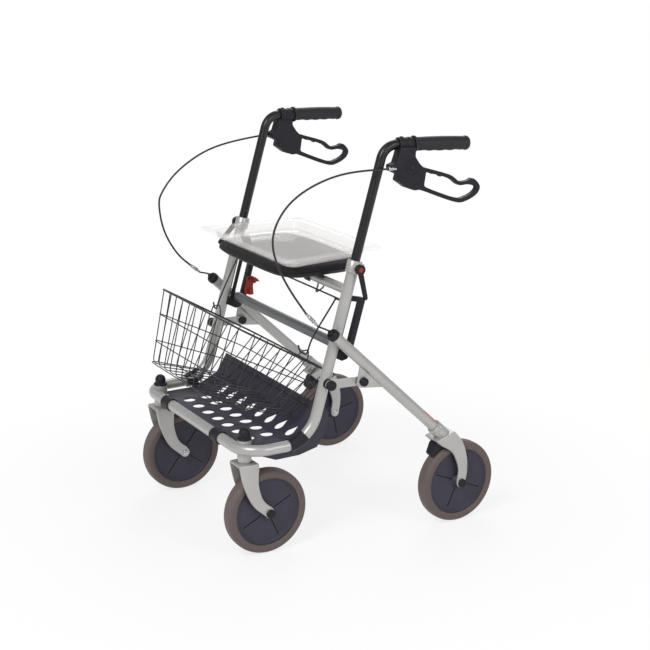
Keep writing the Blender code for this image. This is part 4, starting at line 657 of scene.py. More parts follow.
def run_tree(obj: Shape, tree: Tree, named: dict[str, str], values: dict[str, Any]) -> Shape:
    """Runs a tree on an object and keeps the plain result.

    Args:
        obj: The object that carries the tree.
        tree: The tree.
        named: Input name to identifier.
        values: Input name to value.

    Returns:
        The object with its new mesh.
    """
    step = obj.modifiers.new(tree.name, "NODES")
    step.node_group = tree
    for label, value in values.items():
        step[named[label]] = value
    return plain(obj)


def polyline(points: Sequence[Vector], name: str = "line") -> Shape:
    """A mesh of one open line of edges, for a tree to follow."""
    mesh = bpy.data.meshes.new(name)
    mesh.from_pydata([tuple(p) for p in points], [(i, i + 1) for i in range(len(points) - 1)], [])
    return linked(name, mesh)


def spread_wires_tree() -> tuple[Tree, dict[str, str]]:
    """Tree that repeats one bent wire across a tapering basket.

    The wire is drawn at the basket's left side; copy i is scaled along X from 1 to -1, so the
    row of wires follows the taper of the walls.

    Returns:
        The tree and its inputs' identifiers.
    """
    tree, start, named = new_tree(
        "SpreadWires",
        {"Wires": "NodeSocketInt", "Wire Radius": "NodeSocketFloat", "Finish": "NodeSocketMaterial"},
    )
    last = add_node(tree, "ShaderNodeMath", {0: start.outputs["Wires"], 1: 1.0}, operation="SUBTRACT")
    index = add_node(tree, "GeometryNodeInputIndex")
    share = add_node(tree, "ShaderNodeMath", {0: index, 1: last}, operation="DIVIDE")
    width = add_node(tree, "ShaderNodeMath", {0: share, 1: -2.0, 2: 1.0}, operation="MULTIPLY_ADD")
    scale = add_node(tree, "ShaderNodeCombineXYZ", {"X": width, "Y": 1.0, "Z": 1.0})
    spots = add_node(tree, "GeometryNodeMeshLine", {"Count": start.outputs["Wires"], "Offset": (0, 0, 0)})
    wires = add_node(
        tree, "GeometryNodeInstanceOnPoints",
        {"Points": spots, "Instance": start.outputs["Geometry"], "Scale": scale},
    )
    lines = add_node(tree, "GeometryNodeRealizeInstances", {"Geometry": wires})
    curves = add_node(tree, "GeometryNodeMeshToCurve", {"Mesh": lines})
    ring = add_node(
        tree, "GeometryNodeCurvePrimitiveCircle", {"Resolution": 8, "Radius": start.outputs["Wire Radius"]}
    )
    bars = add_node(
        tree, "GeometryNodeCurveToMesh", {"Curve": curves, "Profile Curve": ring, "Fill Caps": True}
    )
    smooth = add_node(tree, "GeometryNodeSetShadeSmooth", {"Geometry": bars})
    end_tree(tree, smooth.outputs[0], start.outputs["Finish"])
    return tree, named


def pierce_tree() -> tuple[Tree, dict[str, str]]:
    """Tree that pierces a sheet with one cutter on every point of a grid.

    Returns:
        The tree and its inputs' identifiers.
    """
    tree, start, named = new_tree(
        "PierceSheet",
        {
            "Cutter": "NodeSocketObject", "Columns": "NodeSocketInt", "Rows": "NodeSocketInt",
            "Column Pitch": "NodeSocketFloat", "Row Pitch": "NodeSocketFloat", "Middle": "NodeSocketVector",
            "Finish": "NodeSocketMaterial",
        },
    )
    sizes = []
    for count, pitch in (("Columns", "Column Pitch"), ("Rows", "Row Pitch")):
        gaps = add_node(tree, "ShaderNodeMath", {0: start.outputs[count], 1: 1.0}, operation="SUBTRACT")
        size = add_node(tree, "ShaderNodeMath", {0: gaps, 1: start.outputs[pitch]}, operation="MULTIPLY")
        sizes.append(size)
    x_gaps = add_node(tree, "ShaderNodeMath", {0: sizes[0], 1: -0.5}, operation="MULTIPLY")
    y_gaps = add_node(tree, "ShaderNodeMath", {0: sizes[1], 1: -0.5}, operation="MULTIPLY")
    corner = add_node(tree, "ShaderNodeCombineXYZ", {"X": x_gaps, "Y": y_gaps})
    first = add_node(tree, "ShaderNodeVectorMath", {0: start.outputs["Middle"], 1: corner}, operation="ADD")
    index = add_node(tree, "GeometryNodeInputIndex")
    total = add_node(
        tree, "ShaderNodeMath", {0: start.outputs["Columns"], 1: start.outputs["Rows"]},
        operation="MULTIPLY",
    )
    row = add_node(tree, "ShaderNodeMath", {0: index, 1: start.outputs["Columns"]}, operation="DIVIDE")
    row_whole = add_node(tree, "ShaderNodeMath", {0: row}, operation="FLOOR")
    column = add_node(tree, "ShaderNodeMath", {0: index, 1: start.outputs["Columns"]}, operation="MODULO")
    x = add_node(
        tree, "ShaderNodeMath", {0: column, 1: start.outputs["Column Pitch"]}, operation="MULTIPLY"
    )
    y = add_node(
        tree, "ShaderNodeMath", {0: row_whole, 1: start.outputs["Row Pitch"]}, operation="MULTIPLY"
    )
    step = add_node(tree, "ShaderNodeCombineXYZ", {"X": x, "Y": y})
    place = add_node(tree, "ShaderNodeVectorMath", {0: first, 1: step}, operation="ADD")
    spots = add_node(tree, "GeometryNodeMeshLine", {"Count": total, "Offset": (0, 0, 0)})
    spread = add_node(tree, "GeometryNodeSetPosition", {"Geometry": spots, "Position": place})
    tool = add_node(tree, "GeometryNodeObjectInfo", {"Object": start.outputs["Cutter"]})
    tools = add_node(
        tree, "GeometryNodeInstanceOnPoints", {"Points": spread, "Instance": tool.outputs["Geometry"]}
    )
    real = add_node(tree, "GeometryNodeRealizeInstances", {"Geometry": tools})
    holes = add_node(tree, "GeometryNodeMeshBoolean", operation="DIFFERENCE", solver="EXACT")
    tree.links.new(start.outputs["Geometry"], holes.inputs["Mesh 1"])
    tree.links.new(real.outputs[0], holes.inputs["Mesh 2"])
    end_tree(tree, holes.outputs["Mesh"], start.outputs["Finish"])
    return tree, named


def groove_tree() -> tuple[Tree, dict[str, str]]:
    """Tree that cuts evenly turned grooves in a disc that stands on the X axis at the origin.

    Returns:
        The tree and its inputs' identifiers.
    """
    tree, start, named = new_tree(
        "DiscGrooves",
        {
            "Cutter": "NodeSocketObject", "Grooves": "NodeSocketInt", "First Angle": "NodeSocketFloat",
            "Finish": "NodeSocketMaterial",
        },
    )
    index = add_node(tree, "GeometryNodeInputIndex")
    share = add_node(tree, "ShaderNodeMath", {0: index, 1: start.outputs["Grooves"]}, operation="DIVIDE")
    turn = add_node(
        tree, "ShaderNodeMath", {0: share, 1: 2 * pi, 2: start.outputs["First Angle"]},
        operation="MULTIPLY_ADD",
    )
    angle = add_node(tree, "ShaderNodeCombineXYZ", {"X": turn})
    spots = add_node(tree, "GeometryNodeMeshLine", {"Count": start.outputs["Grooves"], "Offset": (0, 0, 0)})
    tool = add_node(tree, "GeometryNodeObjectInfo", {"Object": start.outputs["Cutter"]})
    tools = add_node(
        tree, "GeometryNodeInstanceOnPoints",
        {"Points": spots, "Instance": tool.outputs["Geometry"], "Rotation": angle},
    )
    real = add_node(tree, "GeometryNodeRealizeInstances", {"Geometry": tools})
    ground = add_node(tree, "GeometryNodeMeshBoolean", operation="DIFFERENCE", solver="EXACT")
    tree.links.new(start.outputs["Geometry"], ground.inputs["Mesh 1"])
    tree.links.new(real.outputs[0], ground.inputs["Mesh 2"])
    end_tree(tree, ground.outputs["Mesh"], start.outputs["Finish"])
    return tree, named


# Sub-assemblies


@dataclass
class Assembly:
    """Base of every sub-assembly: the frame's shared lines, and how a piece is seated.

    The frame's numbers are the CAD's own.
    """

    lean: float = radians(16.1)
    upright_x: float = 0.265
    tube_radius: float = 0.0127
    loop_z: float = 0.262
    loop_front_y: float = -0.3098
    loop_bend: float = 0.085
    swivel: Vector = field(default_factory=lambda: Vector((0.221, -0.2908, 0.0)))
    cross_z: float = 0.6
    cross_radius: float = 0.011
    corner_z: float = 0.9165
    meets_y: float = -0.1493
    top_z: float = 0.663
    fold_z: float = 0.396
    slot_rise: float = 0.0837
    slot_behind: float = 0.028
    leg_x: float = 0.294
    leg_slope: float = radians(43.6)
    handle_radius: float = 0.0108
    grip_splay: float = radians(3.2)
    grip_drop: float = radians(2.8)
    barrel: tuple[float, float, float] = (0.0165, 0.01, -0.051)
    bail_top: tuple[float, float] = (-0.063, 0.5775)
    collar_wall: float = 0.0042
    gusset_pivot: Vector = field(default_factory=lambda: Vector((0.0, -0.0283, 0.3925)))

    @property
    def along(self) -> Vector:
        """Direction up the uprights."""
        return Vector((0.0, sin(self.lean), cos(self.lean)))

    @property
    def behind(self) -> Vector:
        """Direction square to the uprights, to the rear."""
        return Vector((0.0, cos(self.lean), -sin(self.lean)))

    @property
    def leg_down(self) -> Vector:
        """Direction down the rear legs."""
        return Vector((0.0, cos(self.leg_slope), -sin(self.leg_slope)))

    def upright(self, z: float, x: float = 0.0) -> Vector:
        """Point of the upright's axis at height z."""
        return Vector((x, self.meets_y + (z - self.loop_z) * tan(self.lean), z))

    @property
    def slot_pin(self) -> Vector:
        """Middle of the rear frame's cross tube, unfolded."""
        return self.upright(self.fold_z) + self.slot_rise * self.along + self.slot_behind * self.behind

    def leg_point(self, down: float, under: float = 0.0, x: float = 0.0) -> Vector:
        """Point of the rear leg, down it from the cross tube and below its axis."""
        below = Vector((0.0, -sin(self.leg_slope), -cos(self.leg_slope)))
        place = self.slot_pin + down * self.leg_down + under * below
        return Vector((x, place.y, place.z))

    def handle_matrix(self) -> Matrix:
        """Matrix of the left handle: its +Y runs back along the grip from the bend's corner."""
        corner = self.upright(self.corner_z, self.upright_x)
        splayed = Matrix.Translation(corner) @ Matrix.Rotation(-self.grip_splay, 4, "Z")
        return splayed @ Matrix.Rotation(-self.grip_drop, 4, "X")

    def seat_piece(
        self, obj: Shape, name: str, body: str | None, finish: Finish, replaces: Sequence[str] = (),
        slot: str | None = None,
    ) -> Shape:
        """Names a finished mesh, shades and dresses it, and seats it on its CAD body.

        Args:
            obj: The piece, with its place in its mesh.
            name: Its name.
            body: The CAD body that carries it, or None to leave it on no body.
            finish: Its finish.
            replaces: CAD nodes it stands for.
            slot: Not used.

        Returns:
            The piece.
        """
        obj.name = obj.data.name = name
        obj.data.materials.clear()
        obj.data.materials.append(finish.value.material())
        obj.data.shade_smooth()
        obj.data.set_sharp_from_angle(angle=radians(38))
        if body:
            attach(obj, body)
        if replaces:
            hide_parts(*replaces)
        LOG.info("%s on %s: %d faces", name, body, len(obj.data.polygons))
        return obj

    def both(
        self, make: Callable[[], Shape], name: str, body: str, finish: Finish, replaces: str | None,
        slot: str | None = None,
    ) -> None:
        """Makes a left piece and its mirror image.

        Args:
            make: Builds the left piece.
            name: Name without the side.
            body: Body, with {} where the side's name goes.
            finish: The finish.
            replaces: CAD node without the side, or None.
            slot: Passed on to seat_piece.
        """
        left = make()
        twin = mirror_mesh(linked("twin", left.data.copy()))
        for obj, side in ((left, Side.LEFT), (twin, Side.RIGHT)):
            stands = [f"{replaces}_{side.label}"] if replaces else []
            self.seat_piece(obj, f"{name}_{side.label}", body.format(side.label), finish, stands, slot)


@dataclass
class FrontFrame(Assembly):
    """Bent steel front frame: two uprights in one tube with the bottom loop, and what is on it."""

    corner_radius: float = 0.06
    boss_radius: float = 0.016
    clamp_down: float = 0.013
    hook_x: float = 0.15

    def half_line(self) -> list[Vector]:
        """Centre line of the left half, from the upright's top to the loop's corner."""
        line = [self.upright(self.top_z, self.upright_x)]
        tangent = self.loop_bend * tan((pi / 2 - self.lean) / 2)
        centre = (self.meets_y - tangent, self.loop_z + self.loop_bend)
        for y, z in arc(centre, self.loop_bend, -self.lean, -pi / 2, 20):
            line.append(Vector((self.upright_x, y, z)))
        corner = Vector(
            (self.upright_x - self.corner_radius, self.loop_front_y + self.corner_radius, self.loop_z)
        )
        for i in range(17):
            angle = -i / 16 * pi / 2
            line.append(corner + self.corner_radius * Vector((cos(angle), sin(angle), 0)))
        return line

    def tube(self) -> Shape:
        """The bent tube with its welded bosses and open tops."""
        half = self.half_line()
        frame_tube = sweep(half + [Vector((-p.x, p.y, p.z)) for p in reversed(half)], self.tube_radius, 36)
        for side in Side:
            swivel = Vector((side.value * self.swivel.x, self.swivel.y, 0))
            r = self.boss_radius
            boss = lathe(
                [(0, 0.2292), (r - 0.001, 0.2292), (r, 0.2302), (r, 0.279), (r - 0.001, 0.28), (0, 0.28)],
                swivel, Z_AXIS, 40,
            )
            joined(frame_tube, boss)
            deep = self.upright(self.top_z, side.value * self.upright_x) - 0.332 * self.along
            cut(frame_tube, rod(deep, deep + 0.345 * self.along, self.tube_radius - 0.0015, 32))
        return frame_tube

    def weld_line(self, radius: float, side: Side) -> list[Vector]:
        """Line where a cross bar of that radius meets an upright's round wall."""
        centre = self.upright(self.cross_z)
        line = []
        for i in range(48):
            angle = 2 * pi * i / 48
            across = radius * cos(angle)
            reach = (self.tube_radius**2 - across**2) ** 0.5
            off = across * self.behind + radius * sin(angle) * self.along
            line.append(centre + off + side.value * (self.upright_x - reach) * X_AXIS)
        return line

    def cross_bar(self) -> Shape:
        """Seat's cross tube, saddled to the uprights."""
        centre = self.upright(self.cross_z)
        reach = self.upright_x - self.tube_radius + 0.0037
        bar = rod(centre - reach * X_AXIS, centre + reach * X_AXIS, self.cross_radius, 32)
        for side in Side:
            axis = centre + side.value * self.upright_x * X_AXIS
            cut(
                bar, rod(axis - 0.04 * self.along, axis + 0.04 * self.along, self.tube_radius + FIT_GAP, 36)
            )
        return bar

    def hook(self) -> Shape:
        """Left V-shaped wire hook, welded under the cross tube, that holds the bail."""
        x, y, low = self.hook_x, self.upright(self.cross_z).y, 0.5736
        top = self.cross_z - self.cross_radius + 0.003
        half = [(0.0125, y, top), (0.011, y - 0.002, 0.583), (0.003, self.bail_top[0], low)]
        line = [(x - across, *rest) for across, *rest in half]
        line += [(x + across, *rest) for across, *rest in reversed(half)]
        return sweep(through(line, 8), 0.0019, 14)

    def beads(self) -> Shape:
        """The two weld beads where the seat's cross tube meets the uprights."""
        radius = self.cross_radius + 0.0004
        return joined(*(sweep(self.weld_line(radius, side), 0.0017, 10, closed=True) for side in Side))

    def cap(self) -> Shape:
        """Black domed cap on a caster boss."""
        base = 0.2803
        profile = [
            (0, base), (0.016, base), (0.0166, base + 0.0006), (0.0166, base + 0.0035),
            (0.016, base + 0.0045), (0.0128, base + 0.006), (0.0125, base + 0.0072),
        ]
        profile += [
            (0.013 * cos(i / 12 * pi / 2), base + 0.0125 + 0.0138 * sin(i / 12 * pi / 2)) for i in range(13)
        ]
        return lathe(profile, self.swivel, Z_AXIS, 48)

    def collar(self) -> Shape:
        """Clamp block at the upright's top with its screw ear, split line and lip."""
        base = self.upright(self.top_z, self.upright_x) - 0.025 * self.along
        outer = self.tube_radius + self.collar_wall
        profile = [
            (0, 0), (outer - 0.001, 0), (outer, 0.001), (outer, 0.0058), (outer - 0.0007, 0.0064),
            (outer - 0.0007, 0.0074), (outer, 0.008), (outer, 0.026), (outer - 0.0012, 0.0276), (0, 0.0276),
        ]
        block = lathe(profile, base, self.along, 40)
        centre = self.upright(self.top_z, self.upright_x) - self.clamp_down * self.along
        y, z = centre.y + 0.004, centre.z
        ear = plate(
            flat_through(
                [
                    (y - 0.013, z - 0.01), (y + 0.004, z - 0.012), (y + 0.0115, z - 0.002),
                    (y + 0.009, z + 0.01), (y - 0.006, z + 0.013), (y - 0.013, z - 0.01),
                ],
                4,
            )[:-1],
            self.upright_x + 0.0165, 0.011,
        )
        joined(block, rounded(ear, 0.0015, 3))
        bore = rod(base - 0.01 * self.along, base + 0.05 * self.along, self.handle_radius + 0.0004, 32)
        return cut(block, bore)

    def lever(self, angle: float, side: Side) -> tuple[Shape, Shape]:
        """Clamp lever and its red centre.

        Args:
            angle: The lever's angle from straight down.
            side: The side it is on.

        Returns:
            The black lever with its round head, and the red disc in the head.
        """
        seat = self.upright_x + 0.0223
        head = [
            (0, seat - 0.0004), (0.01, seat - 0.0004), (0.0115, seat + 0.0008), (0.0117, seat + 0.009),
            (0.0108, seat + 0.0106), (0.009, seat + 0.011), (0.0075, seat + 0.0108), (0.007, seat + 0.0096),
            (0, seat + 0.0096),
        ]
        black = lathe(head, (0, 0, 0), X_AXIS, 40)
        outline = [
            (-0.0064, -0.004), (-0.0055, -0.03), (-0.005, -0.066), (-0.0042, -0.0705), (-0.002, -0.0728),
            (0.002, -0.0728), (0.0042, -0.0705), (0.005, -0.066), (0.0055, -0.03), (0.0064, -0.004),
        ]
        joined(black, rounded(plate(outline, seat + 0.0045, 0.0066), 0.0016, 3))
        red = lathe(
            [
                (0, seat + 0.0092), (0.0056, seat + 0.0092), (0.0056, seat + 0.0102),
                (0.0048, seat + 0.0108), (0, seat + 0.011),
            ],
            (0, 0, 0), X_AXIS, 32,
        )
        cut(red, plate(oblong(-0.0045, 0.0045, -0.0007, 0.0007), seat + 0.0112, 0.0012))
        centre = self.upright(self.top_z) - self.clamp_down * self.along
        for piece in (black, red):
            piece.data.transform(Matrix.Rotation(angle, 4, "X"))
            if side is Side.RIGHT:
                mirror_mesh(piece)
            piece.data.transform(Matrix.Translation(centre))
        return black, red

    def build(self) -> None:
        """Builds and seats the whole sub-assembly."""
        body = "front_frame"
        self.seat_piece(self.tube(), "front_frame_tube", body, Finish.FRAME_PAINT, ["front_frame"])
        self.seat_piece(self.cross_bar(), "seat_cross_bar", body, Finish.FRAME_PAINT, ["seat_cross_tube"])
        self.seat_piece(self.beads(), "cross_bar_welds", body, Finish.FRAME_PAINT, slot="frame_paint")
        self.both(self.hook, "bail_hook", body, Finish.HOOK_STEEL, None, "bright_steel")
        self.both(self.cap, "boss_cap", body, Finish.BLACK_PLASTIC, "caster_cap")
        self.both(self.collar, "clamp_collar", body, Finish.FRAME_PAINT, "height_collar")
        for side, angle in ((Side.LEFT, radians(13)), (Side.RIGHT, radians(-45))):
            black, red = self.lever(angle, side)
            rides = f"clamp_lever_{side.label}"
            self.seat_piece(black, f"clamp_handle_{side.label}", rides, Finish.BLACK_PLASTIC, [rides])
            self.seat_piece(red, f"clamp_centre_{side.label}", rides, Finish.RED, slot="latch_red")
            guide = f"slot_guide_{side.label}"
            self.seat_piece(
                refined(guide, 0.001), f"fold_guide_{side.label}", body, Finish.BLACK_PLASTIC, [guide]
            )
        latch = refined("fold_latch", 0.0008)
        self.seat_piece(latch, "latch_lever", "fold_latch", Finish.RED, ["fold_latch"])


@dataclass
class Studio:
    """Pale floor and backdrop, soft lamps, and the camera at the photograph's angle."""

    eye: Vector = field(default_factory=lambda: Vector((2.923, -1.6993, 1.4241)))
    azimuth: float = radians(59.12)
    elevation: float = radians(16.13)
    roll: float = radians(0.24)
    lens_mm: float = 80.97
    floor_white: float = 0.9
    fade: tuple[float, float] = (0.4, 1.1)
    shadow: float = 0.22
    sky_light: float = 0.5

    def camera(self) -> None:
        """Places the camera."""
        data = bpy.data.cameras.new("photo_view")
        data.lens, data.sensor_width, data.sensor_fit = self.lens_mm, 36.0, "HORIZONTAL"
        data.clip_end = 50.0
        made = linked("photo_view", data)
        back = Vector(
            (
                sin(self.azimuth) * cos(self.elevation), -cos(self.azimuth) * cos(self.elevation),
                sin(self.elevation),
            )
        )
        right = Z_AXIS.cross(back).normalized()
        turn = Matrix((right, back.cross(right), back)).transposed().to_4x4()
        made.matrix_world = Matrix.Translation(self.eye) @ turn @ Matrix.Rotation(self.roll, 4, "Z")
        bpy.context.scene.camera = made

    def lamp(self, name: str, place: Sequence[float], size: float, watts: float) -> None:
        """Adds a soft square lamp that faces the object's middle."""
        data = bpy.data.lights.new(name, "AREA")
        data.size, data.energy = size, watts
        made = linked(name, data)
        way = Vector((0, 0, 0.45)) - Vector(place)
        made.matrix_world = Matrix.Translation(place) @ way.to_track_quat("-Z", "Y").to_matrix().to_4x4()

    def white(self) -> bpy.types.Material:
        """Matte white that the camera, gloss and glass see as plain white away from the object.

        Returns:
            The floor's material, with a share of the object's shadow kept beside it.
        """
        made = bpy.data.materials.new("matte_white_floor")
        made.use_nodes = True
        tree = made.node_tree
        tree.nodes.clear()
        matte = add_node(tree, "ShaderNodeBsdfDiffuse", {"Color": (*[self.floor_white] * 3, 1.0)})
        glow = add_node(tree, "ShaderNodeEmission", {"Color": (1, 1, 1, 1), "Strength": 1.0})
        rays = add_node(tree, "ShaderNodeLightPath")
        seen = add_node(
            tree, "ShaderNodeMath", {0: rays.outputs["Is Camera Ray"], 1: rays.outputs["Is Glossy Ray"]},
            operation="MAXIMUM",
        )
        seen = add_node(
            tree, "ShaderNodeMath", {0: seen, 1: rays.outputs["Is Transmission Ray"]}, operation="MAXIMUM"
        )
        place = add_node(tree, "ShaderNodeTexCoord").outputs["Object"]
        away = add_node(tree, "ShaderNodeVectorMath", {0: place}, operation="LENGTH").outputs["Value"]
        fade = add_node(
            tree, "ShaderNodeMapRange",
            {
                "Value": away, "From Min": self.fade[0], "From Max": self.fade[1],
                "To Min": 1.0 - self.shadow,
            },
            interpolation_type="SMOOTHSTEP",
        )
        share = add_node(tree, "ShaderNodeMath", {0: seen, 1: fade}, operation="MULTIPLY")
        mix = add_node(tree, "ShaderNodeMixShader", {0: share, 1: matte, 2: glow})
        add_node(tree, "ShaderNodeOutputMaterial", {"Surface": mix})
        return made

    def backdrop(self) -> None:
        """Lays the floor and lights the world."""
        bm = bmesh.new()
        bmesh.ops.create_grid(bm, x_segments=1, y_segments=1, size=30.0)
        floor = mesh_object(bm, "studio_floor")
        floor.data.materials.append(self.white())
        world = bpy.data.worlds.new("studio")
        world.use_nodes = True
        tree = world.node_tree
        tree.nodes.clear()
        rays = add_node(tree, "ShaderNodeLightPath")
        seen = add_node(
            tree, "ShaderNodeMath",
            {0: rays.outputs["Is Camera Ray"], 1: rays.outputs["Is Transmission Ray"]}, operation="MAXIMUM",
        )
        level = add_node(
            tree, "ShaderNodeMapRange", {"Value": seen, "To Min": self.sky_light, "To Max": 1.0}
        )
        sky = add_node(tree, "ShaderNodeBackground", {"Color": (1, 1, 1, 1), "Strength": level})
        add_node(tree, "ShaderNodeOutputWorld", {"Surface": sky})
        bpy.context.scene.world = world
        bpy.context.scene.view_settings.view_transform = "Standard"

    def build(self) -> None:
        """Sets the whole studio."""
        self.camera()
        self.backdrop()
        self.lamp("key", (1.4, -2.4, 3.0), 1.2, 62.0)
        self.lamp("side", (3.4, 0.8, 2.2), 1.4, 30.0)
        self.lamp("back", (-2.2, 1.8, 2.4), 1.8, 30.0)


@dataclass
class Cables(Assembly):
    """Brake cables: an upper run from the handle, a lower run, and an adjuster."""

    radius: float = 0.0023
    split_x: float = 0.28
    adjuster_x: tuple[float, float] = (0.286, 0.29)
    steps: int = 8
    passes: int = 8
    upper: dict[Side, Outline] = field(
        default_factory=lambda: {
            Side.LEFT: [(-0.07, 0.8655), (-0.156, 0.843), (-0.216, 0.805), (-0.2482, 0.7485)],
            Side.RIGHT: [(-0.103, 0.847), (-0.199, 0.798), (-0.245, 0.748), (-0.255, 0.715)],
        }
    )
    lower: dict[Side, Outline] = field(
        default_factory=lambda: {
            Side.LEFT: [
                (-0.2482, 0.7485), (-0.2413, 0.6897), (-0.209, 0.6247), (-0.17, 0.5675), (-0.1455, 0.54)
            ],
            Side.RIGHT: [
                (-0.255, 0.715), (-0.2422, 0.6484), (-0.2074, 0.5885), (-0.174, 0.557), (-0.147, 0.5355)
            ],
        }
    )

    def spread(self, route: Outline, start: float, end: float, side: Side) -> list[Vector]:
        """The route's (y, z) points in space, x running evenly from start to end."""
        last = len(route) - 1
        return [
            Vector((side.value * (start + (end - start) * i / last), y, z))
            for i, (y, z) in enumerate(route)
        ]

    def run(self, side: Side) -> tuple[list[Vector], int, Vector, Vector]:
        """The whole cable's centre line.

        Args:
            side: The cable's side.

        Returns:
            The points, the index where the upper run ends, and the adjuster's two ends.
        """
        across, back, down = self.barrel
        start = self.handle_matrix() @ Vector((across, back - 0.006, down))
        start = Vector((side.value * start.x, start.y - 0.0003, start.z))
        first = [
            start,
            *self.spread([(0, 0), *self.upper[side]], self.upright_x + across, self.split_x, side)[1:],
        ]
        second = self.spread(self.lower[side][:-1], self.split_x, self.adjuster_x[0], side)
        ends = self.spread(self.lower[side][-2:], *self.adjuster_x, side)
        points = through(first + second[1:], self.steps)
        for _ in range(self.passes):
            # Evens out the bends between the clipped points; both ends stay where they are.
            points[2:-2] = [
                p.lerp((before + after) / 2, 0.5)
                for before, p, after in zip(points[1:], points[2:-2], points[3:])
            ]
        return points, (len(first) - 1) * self.steps, ends[0], ends[1]

    def adjuster(self, low: Vector, high: Vector) -> Shape:
        """Silver in-line adjuster: ferrule, knurled barrel, lock nut and hollow screw."""
        way = (high - low).normalized()
        length = (high - low).length
        profile = [(0, 0.0003), (0.0029, 0.0003), (0.0031, 0.001), (0.0031, 0.0095), (0.0044, 0.0105)]
        for i in range(10):
            at = 0.011 + i * 0.0011
            profile += [(0.0046, at), (0.0042, at + 0.00055)]
        profile += [(0.0044, 0.0222), (0.0033, 0.023), (0.0033, 0.0245), (0.0045, 0.0248), (0.0045, 0.0275)]
        profile += [(0.003, 0.028), (0.003, length), (0, length)]
        return lathe(profile, low, way, 32)

    def build(self) -> None:
        """Builds both cables and adjusters."""
        for side in Side:
            points, split, low, high = self.run(side)
            name = side.label
            way = (high - low).normalized()
            for part, path in (
                ("upper", points[: split + 1]), ("lower", [*points[split:-1], low - 0.003 * way, low])
            ):
                piece = sweep(path, self.radius, 20)
                piece.data.shade_smooth()
                label = f"brake_hose_{part}_{name}"
                self.seat_piece(piece, label, None, Finish.CABLE, [f"brake_cable_{part}_{name}"])
                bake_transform(piece)
            body = self.adjuster(low, high)
            self.seat_piece(
                body, f"adjuster_{name}", "cable_adjusters", Finish.STEEL, [f"cable_adjuster_{name}"]
            )
            cap = self.leg_point(-0.067, 0, side.value * self.leg_x)
            tail = [high - 0.002 * way, high + 0.006 * way, cap - 0.014 * self.leg_down, cap]
            hose = sweep(through(tail, 6), 0.002, 16)
            self.seat_piece(
                hose, f"brake_hose_tail_{name}", "cable_adjusters", Finish.CABLE, slot="cable_black"
            )


